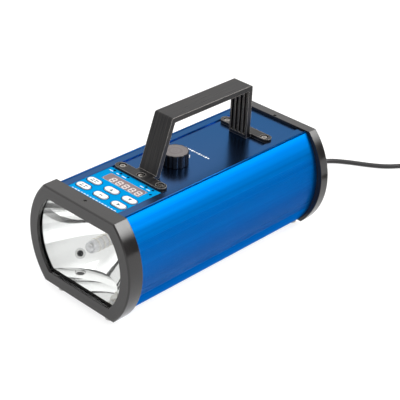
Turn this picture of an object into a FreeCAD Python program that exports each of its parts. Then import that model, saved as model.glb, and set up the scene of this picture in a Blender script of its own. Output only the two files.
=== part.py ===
import FreeCAD, Part
import math
import os
import re

import Sketcher
from FreeCAD import Placement, Rotation, Vector

# A portable xenon flash stroboscope with a carrying handle, in millimetres.
# X is across the case, Y runs from the lamp end (front, -Y) to the cord end (rear, +Y), Z is up.
# The origin lies on the surface that the feet stand on, under the middle of the case.

SIZES = {
    # case section: half sizes of a flat-topped barrel whose sides are arcs
    "axis_high": 56.5,
    "case_flat": 41.9,
    "case_wide": 59.5,
    "case_tall": 48.5,
    "case_front": 129.0,
    "case_rear": 125.0,
    "bore_flat": 39.9,
    "bore_wide": 57.0,
    "bore_tall": 44.8,
    "channel_half": 32.0,
    "channel_deep": 1.2,
    "edge_groove": 1.2,
    "edge_groove_deep": 1.4,
    "rib_pitch": 1.4,
    "rib_cut": 0.6,
    "rib_deep": 0.35,
    "screw_post_x": 36.0,
    "screw_post_z": 41.8,
    "screw_post_radius": 3.2,
    "screw_post_bore": 1.55,
    "screw_post_long": 230.0,
    # end rings
    "front_end": 132.15,
    "rear_end": 132.15,
    "ring_flat": 45.2,
    "ring_wide": 65.7,
    "ring_tall": 50.0,
    "ring_bevel": 1.2,
    "bezel_deep": 15.7,
    "lip_deep": 3.0,
    "rear_deep": 10.9,
    "rear_lip": 5.15,
    "mouth_flat": 39.5,
    "mouth_wide": 54.5,
    "mouth_tall": 38.2,
    "slack": 0.1,
    # window, seal and reflector
    "gasket_thick": 0.8,
    "gasket_wall": 1.4,
    "glass_thick": 3.0,
    "flange_thick": 1.2,
    "dish_focus": 14.5,
    "dish_apex": 71.85,
    "dish_thick": 1.2,
    "dish_half_tall": 38.0,
    "dish_hole": 11.0,
    # flash tube and its socket
    "tube_radius": 6.0,
    "tube_wall": 1.0,
    "tube_front": 121.0,
    "tube_long": 36.0,
    "base_radius": 8.0,
    "base_long": 15.0,
    "socket_radius": 14.0,
    "socket_long": 14.0,
    "shoulder_long": 6.4,
    "bar_long": 52.0,
    "bar_thick": 5.0,
    "trigger_first": 10.0,
    "trigger_pitch": 5.5,
    "trigger_proud": 0.5,
    "trigger_wide": 0.6,
    # sensor bush in the reflector wall
    "sensor_x": 31.3,
    "sensor_z": 27.6,
    "sensor_radius": 4.8,
    "sensor_bore": 3.7,
    "sensor_long": 5.0,
    # membrane panel
    "panel_half": 31.8,
    "panel_front": 115.9,
    "panel_rear": 63.2,
    "panel_thick": 0.8,
    "key_long": 16.0,
    "key_wide": 8.0,
    "key_gap": 0.35,
    "key_pitch_x": 22.5,
    "key_row_front": 104.85,
    "key_row_rear": 92.15,
    "key_thick": 0.9,
    "key_lift": 0.5,
    "key_stem": 1.5,
    "key_stem_long": 3.1,
    "window_long": 47.0,
    "window_wide": 12.0,
    "window_y": 77.15,
    "window_thick": 0.7,
    "module_long": 44.5,
    "module_wide": 10.6,
    "module_tall": 4.9,
    "lamp_radius": 0.8,
    # control board under the panel
    "board_thick": 1.6,
    "control_half": 31.0,
    "control_front": 112.0,
    "control_rear": 26.0,
    "control_high": 97.0,
    "switch_side": 6.0,
    "switch_tall": 2.0,
    # knob and encoder
    "knob_y": 14.55,
    "knob_radius": 12.6,
    "knob_tall": 12.2,
    "knob_lift": 0.5,
    "flute_radius": 2.2,
    "flute_deep": 0.9,
    "cap_radius": 11.6,
    "cap_thick": 0.8,
    "shaft_radius": 3.0,
    "shaft_gap": 0.05,
    "bush_radius": 3.5,
    "nut_radius": 5.8,
    "nut_tall": 2.0,
    "encoder_side": 12.0,
    "encoder_tall": 6.0,
    # handle
    "strap_half": 11.0,
    "strap_thick": 5.0,
    "handle_top": 158.0,
    "strap_round": 2.2,
    "front_leg_low": 49.9,
    "front_leg_high": 30.65,
    "front_leg_thick": 5.25,
    "rear_leg": 69.35,
    "groove_wide": 3.6,
    "groove_deep": 3.3,
    "groove_pitch": 5.05,
    "foot_half": 31.0,
    "foot_wide": 10.5,
    "foot_thick": 3.4,
    "foot_front": 62.95,
    "foot_rear": 86.2,
    "screw_pitch": 24.0,
    "front_screw_y": 57.0,
    "rear_screw_y": 80.6,
    "sink_radius": 4.1,
    "sink_deep": 2.4,
    "head_radius": 2.7,
    "head_tall": 1.8,
    "cross_long": 3.2,
    "cross_wide": 0.8,
    "cross_deep": 0.9,
    "thread_radius": 1.5,
    "thread_hole": 1.6,
    "handle_screw_long": 5.7,
    "panel_screw_long": 12.0,
    "nut_hex": 3.2,
    "nut_thick": 2.3,
    # rear panel and what is on it
    "rear_panel_thick": 2.0,
    "rocker_x": 24.0,
    "rocker_z": 44.0,
    "rocker_half": 6.0,
    "rocker_tall": 9.2,
    "jack_x": 24.0,
    "jack_z": 76.0,
    "jack_radius": 4.0,
    "jack_bore": 1.8,
    "cord_x": 30.0,
    "cord_z": 38.0,
    "cord_radius": 2.5,
    "relief_radius": 4.6,
    "relief_long": 31.0,
    # feet
    "stand_x": 31.3,
    "stand_y": 122.15,
    "stand_rear_y": 124.0,
    "stand_radius": 5.0,
    # power board
    "power_half": 42.0,
    "power_front": 38.0,
    "power_rear": 112.0,
    "power_high": 20.4,
    "post_radius": 3.0,
    "post_inset": 16.0,
    "can_x": 17.0,
    "can_y": 22.0,
    "can_radius": 15.0,
    "can_long": 48.0,
    "choke_y": 42.0,
    "choke_half": 21.0,
    "choke_thick": 14.0,
    "choke_tall": 34.0,
    "winding_half": 14.0,
    "winding_proud": 6.0,
    "winding_tall": 20.0,
    "trigger_x": 30.0,
    "trigger_y": 30.2,
    "trigger_radius": 7.5,
    "trigger_tall": 20.0,
    "fin_x": 38.0,
    "fin_y": 70.0,
    "fin_base": 3.0,
    "fin_long": 9.0,
    "fin_thick": 3.0,
    "fin_pitch": 7.7,
    "fin_tall": 30.0,
    # coil of cord and the plug
    "coil_x": 99.9,
    "coil_y": 303.9,
    "coil_inner": 17.3,
    "coil_outer": 43.1,
    "coil_tall": 10.3,
    "plug_neck": 20.0,
    "plug_half": 17.6,
    "plug_thick": 13.7,
    "plug_long": 35.0,
    "pin_radius": 2.0,
    "pin_long": 19.0,
    "pin_pitch": 18.6,
}

doc = FreeCAD.newDocument("TimingLight")
sheet = doc.addObject("Spreadsheet::Sheet", "Sizes")
for row, (alias, number) in enumerate(SIZES.items(), start=1):
    sheet.set("A%d" % row, alias)
    sheet.set("B%d" % row, str(number))
    sheet.setAlias("B%d" % row, alias)
doc.recompute()

WORD = re.compile(r"[a-z][a-z_]*")
NODES = []


def bound(text):
    """The expression with each driving size written as a reference to its cell."""
    return WORD.sub(lambda found: "Sizes." + found[0] if found[0] in SIZES else found[0], text)


def size(text):
    return float(sheet.evalExpression(bound(text)))


def drive(thing, **properties):
    for name, text in properties.items():
        thing.setExpression(name, bound(text))


def put(thing, x="0", y="0", z="0"):
    for key, text in (("x", x), ("y", y), ("z", z)):
        thing.setExpression(".Placement.Base." + key, bound(text))
    return thing


def keep(thing, node):
    """Marks the object that becomes one sub-part."""
    thing.Label = node
    NODES.append(thing)
    return thing


# ---------------------------------------------------------------- sketches and PartDesign features


def new_body(name, z="0"):
    return put(doc.addObject("PartDesign::Body", name + "_body"), z=z)


def origin_feature(body, role):
    return next(f for f in body.Origin.OriginFeatures if f.Role == role)


def new_sketch(body, role, shift="0"):
    """A sketch on one of the body's own planes, moved along the plane's normal by shift."""
    sketch = body.newObject("Sketcher::SketchObject", body.Name + "_sketch")
    sketch.AttachmentSupport = (origin_feature(body, role), [""])
    sketch.MapMode = "FlatFace"
    sketch.setExpression(".AttachmentOffset.Base.z", bound(shift))
    return sketch


def hold(sketch, kind, *where, text):
    index = sketch.addConstraint(Sketcher.Constraint(kind, *where, size(text)))
    sketch.setExpression("Constraints[%d]" % index, bound(text))


def pin(sketch, edge, point, x, y):
    hold(sketch, "DistanceX", -1, 1, edge, point, text=x)
    hold(sketch, "DistanceY", -1, 1, edge, point, text=y)


def join(sketch, first, last):
    sketch.addConstraint(Sketcher.Constraint("Coincident", *first, *last))


def polygon(sketch, corners):
    places = [Vector(size(x), size(y), 0) for x, y in corners]
    edges = [
        sketch.addGeometry(Part.LineSegment(a, b))
        for a, b in zip(places, places[1:] + places[:1])
    ]
    for edge, after in zip(edges, edges[1:] + edges[:1]):
        join(sketch, (edge, 2), (after, 1))
    for edge, (x, y) in zip(edges, corners):
        pin(sketch, edge, 1, x, y)


def rectangle(sketch, x_low, x_high, y_low, y_high):
    polygon(sketch, [(x_low, y_low), (x_high, y_low), (x_high, y_high), (x_low, y_high)])


def circle(sketch, x, y, radius):
    made = Part.Circle(Vector(size(x), size(y), 0), Vector(0, 0, 1), size(radius))
    edge = sketch.addGeometry(made)
    pin(sketch, edge, 3, x, y)
    hold(sketch, "Radius", edge, text=radius)


def barrel(sketch, flat, wide, tall):
    """Flat top and bottom of half width flat, and side arcs that reach out to wide."""
    f, w, t = size(flat), size(wide), size(tall)
    top = sketch.addGeometry(Part.LineSegment(Vector(-f, t, 0), Vector(f, t, 0)))
    right = sketch.addGeometry(Part.Arc(Vector(f, -t, 0), Vector(w, 0, 0), Vector(f, t, 0)))
    bottom = sketch.addGeometry(Part.LineSegment(Vector(f, -t, 0), Vector(-f, -t, 0)))
    left = sketch.addGeometry(Part.Arc(Vector(-f, t, 0), Vector(-w, 0, 0), Vector(-f, -t, 0)))
    join(sketch, (top, 2), (right, 2))
    join(sketch, (right, 1), (bottom, 1))
    join(sketch, (bottom, 2), (left, 2))
    join(sketch, (left, 1), (top, 1))
    pin(sketch, top, 1, "-(%s)" % flat, tall)
    pin(sketch, top, 2, flat, tall)
    pin(sketch, bottom, 1, flat, "-(%s)" % tall)
    pin(sketch, bottom, 2, "-(%s)" % flat, "-(%s)" % tall)
    for arc in (left, right):
        hold(sketch, "Radius", arc, text=side_radius(flat, wide, tall))


def side_radius(flat, wide, tall):
    rise = "((%s) - (%s))" % (wide, flat)
    return "(%s^2 + (%s)^2) / (2 * %s)" % (rise, tall, rise)


def slot(sketch, x, y, long, wide):
    """A stadium along X."""
    half, radius = "((%s) - (%s)) / 2" % (long, wide), "(%s) / 2" % wide
    cx, cy, h, r = size(x), size(y), size(half), size(radius)
    up, across = Vector(0, r, 0), Vector(r, 0, 0)
    east, west = Vector(cx + h, cy, 0), Vector(cx - h, cy, 0)
    right = sketch.addGeometry(Part.Arc(east - up, east + across, east + up))
    left = sketch.addGeometry(Part.Arc(west + up, west - across, west - up))
    top = sketch.addGeometry(Part.LineSegment(east + up, west + up))
    bottom = sketch.addGeometry(Part.LineSegment(west - up, east - up))
    join(sketch, (right, 2), (top, 1))
    join(sketch, (top, 2), (left, 1))
    join(sketch, (left, 2), (bottom, 1))
    join(sketch, (bottom, 2), (right, 1))
    for arc, side in ((right, "+"), (left, "-")):
        pin(sketch, arc, 3, "(%s) %s (%s)" % (x, side, half), y)
        hold(sketch, "Radius", arc, text=radius)
        for end in (1, 2):
            sketch.addConstraint(Sketcher.Constraint("Vertical", arc, end, arc, 3))


def feature(kind, sketch, long, reverse=False, symmetric=False):
    body = sketch.getParentGeoFeatureGroup()
    made = body.newObject("PartDesign::" + kind, body.Name + "_" + kind.lower())
    made.Profile = sketch
    made.Reversed = reverse
    if symmetric:
        made.SideType = "Symmetric"
    drive(made, Length=long)
    doc.recompute()
    return made


def pad(sketch, long, reverse=False, symmetric=False):
    return feature("Pad", sketch, long, reverse, symmetric)


def pocket(sketch, long, reverse=False, symmetric=False):
    """Cuts, and stops the build if nothing was cut."""
    body = sketch.getParentGeoFeatureGroup()
    before = body.Shape.Volume
    made = feature("Pocket", sketch, long, reverse, symmetric)
    if made.Shape.Volume > before - 1e-6:
        raise RuntimeError("a pocket of %s cuts nothing" % body.Name)
    return made


# ---------------------------------------------------------------- Part primitives and booleans

TURNS = {
    "z": Rotation(),
    "y": Rotation(Vector(1, 0, 0), -90),
    "-y": Rotation(Vector(1, 0, 0), 90),
    "x": Rotation(Vector(0, 1, 0), 90),
    "-x": Rotation(Vector(0, 1, 0), -90),
}


def block(name, x, y, z, long, wide, tall):
    """A box whose lowest corner is at x, y, z."""
    made = put(doc.addObject("Part::Box", name), x, y, z)
    drive(made, Length=long, Width=wide, Height=tall)
    return made


def rod(name, x, y, z, radius, long, along="z"):
    made = doc.addObject("Part::Cylinder", name)
    made.Placement.Rotation = TURNS[along]
    drive(put(made, x, y, z), Radius=radius, Height=long)
    return made


def cone(name, x, y, z, radius, end_radius, long, along="z"):
    made = doc.addObject("Part::Cone", name)
    made.Placement.Rotation = TURNS[along]
    drive(put(made, x, y, z), Radius1=radius, Radius2=end_radius, Height=long)
    return made


def ball(name, x, y, z, radius):
    made = put(doc.addObject("Part::Sphere", name), x, y, z)
    drive(made, Radius=radius)
    return made


def cut(name, base, tool):
    made = doc.addObject("Part::Cut", name)
    made.Base = base
    made.Tool = tool
    return made


def fuse(name, *parts):
    made = doc.addObject("Part::MultiFuse", name)
    made.Shapes = list(parts)
    return made


def group(name, parts):
    made = doc.addObject("Part::Compound", name)
    made.Links = list(parts)
    return made


def hexagon(name, x, y, z, radius, tall, along="z"):
    made = doc.addObject("Part::Prism", name)
    made.Polygon = 6
    made.Placement.Rotation = TURNS[along]
    drive(put(made, x, y, z), Circumradius=radius, Height=tall)
    return made


# ---------------------------------------------------------------- case and end rings

DISPLAY_SLACK = "0.3"


def make_housing():
    body = new_body("housing", z="axis_high")
    section = new_sketch(body, "XZ_Plane", "-case_rear")
    barrel(section, "case_flat", "case_wide", "case_tall")
    barrel(section, "bore_flat", "bore_wide", "bore_tall")
    pad(section, "case_rear + case_front")
    posts = new_sketch(body, "XZ_Plane", "-case_rear")
    for x in ("screw_post_x", "-screw_post_x"):
        for z in ("screw_post_z", "-screw_post_z"):
            circle(posts, x, z, "screw_post_radius")
    pad(posts, "screw_post_long")
    bores = new_sketch(body, "XZ_Plane", "-case_rear")
    for x in ("screw_post_x", "-screw_post_x"):
        for z in ("screw_post_z", "-screw_post_z"):
            circle(bores, x, z, "screw_post_bore")
    pocket(bores, "2 * screw_post_long + 10", symmetric=True)
    channel = new_sketch(body, "XZ_Plane", "-case_rear")
    rectangle(channel, "-channel_half", "channel_half", "case_tall - channel_deep", "case_tall + 1")
    for side in ("", "-"):
        near, far = "case_flat - edge_groove + 0.3", "case_flat + 0.3"
        low, high = (near, far) if not side else ("-(%s)" % far, "-(%s)" % near)
        rectangle(channel, low, high, "case_tall - edge_groove_deep", "case_tall + 1")
    pocket(channel, "5 * case_rear", symmetric=True)
    make_openings(body)
    make_ribs(body)
    keep(body, "housing")


def make_openings(body):
    """Openings in the top wall under the panel, the knob and the handle, and in the walls at the ends."""
    top = new_sketch(body, "XY_Plane", "case_tall + 2")
    for x, y in key_places():
        circle(top, x, y, "key_stem + 0.5")
    half_long = "(module_long / 2 + %s)" % DISPLAY_SLACK
    half_wide = "(module_wide / 2 + %s)" % DISPLAY_SLACK
    rectangle(top, "-" + half_long, half_long, "-window_y - " + half_wide, "-window_y + " + half_wide)
    for x, y in lamp_places():
        circle(top, x, y, "lamp_radius + 0.15")
    circle(top, "0", "-knob_y", "bush_radius + 0.1")
    for x, y in screw_places():
        circle(top, x, y, "thread_hole")
    for y in ("-(%s)" % BEZEL_SCREW_Y, RING_SCREW_Y):
        circle(top, "0", y, "thread_hole")
    pocket(top, "12")


def make_ribs(body):
    """Fine lengthwise grooves over the middle of both sides, spaced round the side's own centre."""
    radius = side_radius("case_flat", "case_wide", "case_tall")
    count = 41
    step = size("rib_pitch / (%s)" % radius)
    sketch = new_sketch(body, "XZ_Plane", "-case_rear")
    sketch.AttachmentOffset = Placement(
        sketch.AttachmentOffset.Base, Rotation(Vector(0, 0, 1), -math.degrees(step) * (count - 1) / 2)
    )
    sketch.setExpression(".AttachmentOffset.Base.x", bound("case_wide - (%s)" % radius))
    rectangle(sketch, radius + " - rib_deep", radius + " + 1", "-rib_cut / 2", "rib_cut / 2")
    first = pocket(sketch, "5 * case_rear", symmetric=True)
    ribs = body.newObject("PartDesign::MultiTransform", "ribs")
    ribs.Originals = [first]
    turned = body.newObject("PartDesign::PolarPattern", "rib_turn")
    turned.Axis = (sketch, ["N_Axis"])
    turned.Angle = math.degrees(step) * (count - 1)
    turned.Occurrences = count
    mirrored = body.newObject("PartDesign::Mirrored", "rib_mirror")
    mirrored.MirrorPlane = (origin_feature(body, "YZ_Plane"), [""])
    ribs.Transformations = [turned, mirrored]
    body.Tip = ribs
    doc.recompute()


def make_front_bezel():
    body = new_body("front_bezel", z="axis_high")
    outline = new_sketch(body, "XZ_Plane", "front_end")
    barrel(outline, "ring_flat", "ring_wide", "ring_tall")
    barrel(outline, "mouth_flat", "mouth_wide", "mouth_tall")
    pad(outline, "bezel_deep", reverse=True)
    inside = new_sketch(body, "XZ_Plane", "front_end - lip_deep")
    barrel(inside, "case_flat + slack", "case_wide + slack", "case_tall + slack")
    pocket(inside, "bezel_deep")
    tongue = new_sketch(body, "XZ_Plane", "front_end - lip_deep")
    rectangle(
        tongue,
        "-channel_half + 0.2",
        "channel_half - 0.2",
        "case_tall - channel_deep + slack",
        "case_tall + 0.6",
    )
    pad(tongue, "bezel_deep - lip_deep", reverse=True)
    holes = new_sketch(body, "XY_Plane", "ring_tall + 1")
    circle(holes, "0", "-(%s)" % BEZEL_SCREW_Y, "thread_hole")
    pocket(holes, "6")
    bevel(body, lambda box: box.YMax < -size("front_end") + 1e-4)
    keep(body, "front_bezel")


def make_rear_ring():
    body = new_body("rear_ring", z="axis_high")
    outline = new_sketch(body, "XZ_Plane", "-rear_end")
    barrel(outline, "ring_flat", "ring_wide", "ring_tall")
    barrel(outline, "mouth_flat", "mouth_wide", "mouth_tall")
    pad(outline, "rear_deep")
    inside = new_sketch(body, "XZ_Plane", "-rear_end + rear_lip")
    barrel(inside, "case_flat + slack", "case_wide + slack", "case_tall + slack")
    pocket(inside, "rear_deep", reverse=True)
    tongue = new_sketch(body, "XZ_Plane", "-case_rear")
    rectangle(
        tongue,
        "-channel_half + 0.2",
        "channel_half - 0.2",
        "case_tall - channel_deep + slack",
        "case_tall + 0.6",
    )
    pad(tongue, "rear_deep - rear_lip - rear_panel_thick")
    sinks = new_sketch(body, "XZ_Plane", "-rear_end")
    holes = new_sketch(body, "XZ_Plane", "-rear_end")
    for x in ("screw_post_x", "-screw_post_x"):
        for z in ("screw_post_z", "-screw_post_z"):
            circle(sinks, x, z, "head_radius + 0.25")
            circle(holes, x, z, "thread_hole")
    pocket(sinks, "head_tall + 0.4", reverse=True)
    pocket(holes, "rear_deep", reverse=True)
    top = new_sketch(body, "XY_Plane", "ring_tall + 1")
    circle(top, "0", RING_SCREW_Y, "thread_hole")
    pocket(top, "6")
    bevel(body, lambda box: box.YMin > size("rear_end") - 1e-4)
    keep(body, "rear_ring")


def bevel(body, at_end):
    """Chamfers the outer edges of the end face that at_end picks."""
    solid = body.Tip
    half_wide = size("ring_wide") - 1
    half_tall = size("ring_tall") - 1e-3
    names = []
    for index, edge in enumerate(solid.Shape.Edges, start=1):
        box = edge.BoundBox
        outer = box.XMax > half_wide or box.XMin < -half_wide or abs(box.ZMax) > half_tall
        if at_end(box) and outer:
            names.append("Edge%d" % index)
    chamfer = body.newObject("PartDesign::Chamfer", body.Name + "_bevel")
    chamfer.Base = (solid, names)
    drive(chamfer, Size="ring_bevel")
    doc.recompute()


# ---------------------------------------------------------------- lamp end

GLASS_FACE = "front_end - lip_deep - gasket_thick"
GLASS_BACK = GLASS_FACE + " - glass_thick"


def inset_barrel(sketch, gap):
    """The outline of the case's bore, smaller all round by gap."""
    barrel(sketch, "bore_flat - " + gap, "bore_wide - " + gap, "bore_tall - " + gap)


def make_gasket():
    """Rubber frame that wraps the window's edge."""
    body = new_body("glass_gasket", z="axis_high")
    outline = new_sketch(body, "XZ_Plane", "front_end - lip_deep")
    inset_barrel(outline, "0.3")
    barrel(outline, "mouth_flat + 0.2", "mouth_wide + 0.2", "mouth_tall + 0.2")
    pad(outline, "gasket_thick + glass_thick", reverse=True)
    seat = new_sketch(body, "XZ_Plane", GLASS_FACE)
    inset_barrel(seat, "(gasket_wall + 0.3)")
    pocket(seat, "glass_thick")
    keep(body, "glass_gasket")


def make_glass():
    body = new_body("front_glass", z="axis_high")
    outline = new_sketch(body, "XZ_Plane", GLASS_FACE)
    inset_barrel(outline, "(gasket_wall + 0.35)")
    pad(outline, "glass_thick", reverse=True)
    keep(body, "front_glass")


def dish_blank(inset):
    """The solid inside the mirror's paraboloid, moved inwards by inset."""
    focus = size("dish_focus")
    apex = -size("dish_apex") - inset
    mouth = -size(GLASS_BACK)
    radius = 2 * math.sqrt(focus * (apex - mouth))
    depth = apex - mouth
    curve = Part.BezierCurve()
    curve.setPoles([Vector(0, apex, 0), Vector(radius / 2, apex, 0), Vector(radius, apex - depth, 0)])
    half = curve.toShape()
    lid = Part.makeLine(Vector(radius, mouth, 0), Vector(0, mouth, 0))
    axis = Part.makeLine(Vector(0, mouth, 0), Vector(0, apex, 0))
    face = Part.Face(Part.Wire([half, lid, axis]))
    solid = face.revolve(Vector(0, 0, 0), Vector(0, 1, 0), 360)
    slab_half = size("dish_half_tall") - inset
    slab = Part.makeBox(300, 300, 2 * slab_half, Vector(-150, -200, -slab_half))
    return solid.common(slab)


def make_reflector():
    """Paraboloid mirror with a flat floor and ceiling, a flange, a tube hole and a sensor hole."""
    front = -size(GLASS_BACK)
    rim = barrel_edges("bore_flat - 0.3", "bore_wide - 0.3", "bore_tall - 0.3", front)
    flange = Part.Face(Part.Wire(rim)).extrude(Vector(0, size("flange_thick"), 0))
    shell = flange.fuse(dish_blank(-size("dish_thick"))).cut(dish_blank(0))
    hole_start = Vector(0, -size("dish_apex") - 15, 0)
    tube_hole = Part.makeCylinder(size("dish_hole"), 30, hole_start, Vector(0, 1, 0))
    sensor_hole = Part.makeCylinder(size("sensor_radius + 0.1"), 24, sensor_spot(-12), sensor_axis())
    made = doc.addObject("Part::Feature", "reflector_shape")
    made.Shape = shell.cut(tube_hole).cut(sensor_hole).removeSplitter()
    made.Placement = Placement(Vector(0, 0, size("axis_high")), Rotation())
    keep(made, "reflector")


def barrel_edges(flat, wide, tall, y):
    f, w, t = size(flat), size(wide), size(tall)
    corner = [Vector(-f, y, t), Vector(f, y, t), Vector(f, y, -t), Vector(-f, y, -t)]
    return [
        Part.makeLine(corner[0], corner[1]),
        Part.Arc(corner[1], Vector(w, y, 0), corner[2]).toShape(),
        Part.makeLine(corner[2], corner[3]),
        Part.Arc(corner[3], Vector(-w, y, 0), corner[0]).toShape(),
    ]


def sensor_axis():
    """Outward normal of the mirror at the sensor."""
    normal = Vector(-2 * size("sensor_x"), 4 * size("dish_focus"), -2 * size("sensor_z"))
    return normal.normalize()


def sensor_spot(along):
    back = size("dish_apex + (sensor_x^2 + sensor_z^2) / (4 * dish_focus)")
    spot = Vector(-size("sensor_x"), -back, -size("sensor_z"))
    return spot + sensor_axis() * along


def make_sensor_bush():
    turn = Rotation(Vector(0, 0, 1), sensor_axis())
    high = Vector(0, 0, size("axis_high"))
    outer = doc.addObject("Part::Cylinder", "sensor_bush_outer")
    inner = doc.addObject("Part::Cylinder", "sensor_bush_inner")
    outer.Placement = Placement(sensor_spot(-1.0) + high, turn)
    inner.Placement = Placement(sensor_spot(-2.0) + high, turn)
    drive(outer, Radius="sensor_radius", Height="sensor_long + 1")
    drive(inner, Radius="sensor_bore", Height="sensor_long + 0.8")
    keep(cut("sensor_bush_shape", outer, inner), "sensor_bush")


def make_flash_tube():
    """Glass envelope with a domed tip, on the mirror's axis."""
    front = "-tube_front + tube_radius"
    long = "tube_long - tube_radius"
    outer = fuse(
        "tube_outer",
        rod("tube_outer_rod", "0", front, "axis_high", "tube_radius", long, "y"),
        ball("tube_outer_tip", "0", front, "axis_high", "tube_radius"),
    )
    inner = fuse(
        "tube_inner",
        rod("tube_inner_rod", "0", front, "axis_high", "tube_radius - tube_wall", long + " + 1", "y"),
        ball("tube_inner_tip", "0", front, "axis_high", "tube_radius - tube_wall"),
    )
    keep(cut("flash_tube_shape", outer, inner), "flash_tube")


def make_tube_electrodes():
    """The anode and cathode rods with their tips, held in the tube's glass by a pinch disc."""
    disc_y = "-tube_front + tube_long - 3"
    parts = [rod("pinch_disc", "0", disc_y, "axis_high", "tube_radius - tube_wall - 0.1", "2.6", "y")]
    for name, x, reach in (("anode", "-2.2", "26"), ("cathode", "2.2", "16")):
        start = disc_y + " - " + reach
        parts.append(rod(name + "_rod", x, start, "axis_high", "0.6", reach + " + 1", "y"))
        parts.append(rod(name + "_tip", x, start + " - 3", "axis_high", "1.3", "4", "y"))
    keep(fuse("tube_electrodes_shape", *parts), "tube_electrodes")


TRIGGER_BANDS = 5


def make_trigger_wire():
    """Fine bands round the tube, tied by one run along it."""
    first = "-tube_front + trigger_first"
    parts = [
        rod(
            "trigger_band_%d" % band,
            "0",
            first + " + %d * trigger_pitch" % band,
            "axis_high",
            "tube_radius + trigger_proud",
            "trigger_wide",
            "y",
        )
        for band in range(TRIGGER_BANDS)
    ]
    run = "%d * trigger_pitch + trigger_wide" % (TRIGGER_BANDS - 1)
    parts.append(
        block(
            "trigger_run",
            "-trigger_wide / 2",
            first,
            "axis_high",
            "trigger_wide",
            run,
            "tube_radius + trigger_proud + 0.1",
        )
    )
    inside = rod("trigger_inside", "0", first + " - 1", "axis_high", "tube_radius + 0.1", run + " + 2", "y")
    keep(cut("trigger_wire_shape", fuse("trigger_wire_solid", *parts), inside), "trigger_wire")


def make_tube_base():
    start = "-tube_front + tube_long + 0.2"
    base = fuse(
        "tube_base_solid",
        rod("tube_base_body", "0", start, "axis_high", "base_radius", "base_long", "y"),
        rod("tube_base_flange", "0", start, "axis_high", "base_radius + 1.5", "3", "y"),
    )
    keep(base, "tube_base")


def make_lamp_socket():
    """Ceramic socket: its neck fills the mirror's hole and its shoulder stands behind the mirror."""
    start = "-tube_front + tube_long + base_long - socket_long + 4"
    end = start + " + socket_long"
    shoulder, bar = end + " - shoulder_long", end + " - bar_thick"
    outer = fuse(
        "socket_outer",
        rod("socket_neck", "0", start, "axis_high", "dish_hole - 0.2", "socket_long", "y"),
        rod("socket_shoulder", "0", shoulder, "axis_high", "socket_radius", "shoulder_long", "y"),
        block("socket_bar", "-bar_long / 2", bar, "axis_high - 7", "bar_long", "bar_thick", "14"),
    )
    inner = rod("socket_bore", "0", start + " - 1", "axis_high", "base_radius + 0.2", "socket_long - 2", "y")
    keep(cut("lamp_socket_shape", outer, inner), "lamp_socket")


def make_socket_bracket():
    """Folded steel bracket from the case floor up to the socket's bar."""
    face = "-tube_front + tube_long + base_long + 4.2"
    floor = "axis_high - bore_tall + 0.1"
    parts = [
        block("bracket_web", "-bar_long / 2", face, floor, "bar_long", "1.5", "bore_tall + 7"),
        block("bracket_foot", "-bar_long / 2", face, floor, "bar_long", "12", "1.5"),
    ]
    keep(fuse("socket_bracket_shape", *parts), "socket_bracket")


# ---------------------------------------------------------------- panel, keys and display

PANEL_FLOOR = "axis_high + case_tall - channel_deep"
BEZEL_SCREW_Y = "front_end - 9"
RING_SCREW_Y = "rear_end - 9"


def key_places():
    return [
        ("%d * key_pitch_x" % column, "-key_row_" + line)
        for line in ("front", "rear")
        for column in (-1, 0, 1)
    ]


LAMP_ROW_X = ("-25", "-16.6", "-7.4", "15.7", "24")


def lamp_places():
    """Indicator lamps: five along the panel's rear edge and one beside the display."""
    rear = "-panel_rear - 2.5"
    return [(x, rear) for x in LAMP_ROW_X] + [("27.6", "-window_y + 5")]


def screw_places():
    front = [("%d * screw_pitch" % side, "-front_screw_y") for side in (-1, 0, 1)]
    rear = [("%d * screw_pitch" % side, "rear_screw_y") for side in (-1, 0, 1)]
    return front + rear


def make_membrane_panel():
    body = new_body("membrane_panel", z=PANEL_FLOOR)
    sheet_outline = new_sketch(body, "XY_Plane")
    rectangle(sheet_outline, "-panel_half", "panel_half", "-panel_front", "-panel_rear")
    for x, y in key_places():
        slot(sheet_outline, x, y, "key_long + 2 * key_gap", "key_wide + 2 * key_gap")
    rectangle(
        sheet_outline,
        "-window_long / 2 - 0.1",
        "window_long / 2 + 0.1",
        "-window_y - window_wide / 2 - 0.1",
        "-window_y + window_wide / 2 + 0.1",
    )
    for x, y in lamp_places():
        circle(sheet_outline, x, y, "lamp_radius + 0.1")
    pad(sheet_outline, "panel_thick")
    keep(body, "membrane_panel")


def make_keys():
    for number, (x, y) in enumerate(key_places(), start=1):
        node = "key_%d" % number
        body = new_body(node, z=PANEL_FLOOR + " + key_lift")
        face = new_sketch(body, "XY_Plane")
        slot(face, x, y, "key_long", "key_wide")
        pad(face, "key_thick")
        stem = new_sketch(body, "XY_Plane")
        circle(stem, x, y, "key_stem")
        pad(stem, "key_stem_long", reverse=True)
        keep(body, node)


def make_display():
    window = block(
        "display_window_plate",
        "-window_long / 2",
        "-window_y - window_wide / 2",
        PANEL_FLOOR,
        "window_long",
        "window_wide",
        "window_thick",
    )
    keep(window, "display_window")
    module = block(
        "display_module_block",
        "-module_long / 2",
        "-window_y - module_wide / 2",
        "control_high + board_thick",
        "module_long",
        "module_wide",
        "module_tall",
    )
    keep(module, "display_module")


def make_indicator_lamps():
    low = "control_high + board_thick"
    lamps = [
        rod("lamp_%d" % number, x, y, low, "lamp_radius", PANEL_FLOOR + " + panel_thick - (%s)" % low)
        for number, (x, y) in enumerate(lamp_places(), start=1)
    ]
    keep(group("indicator_lamp_group", lamps), "indicator_lamps")


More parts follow.
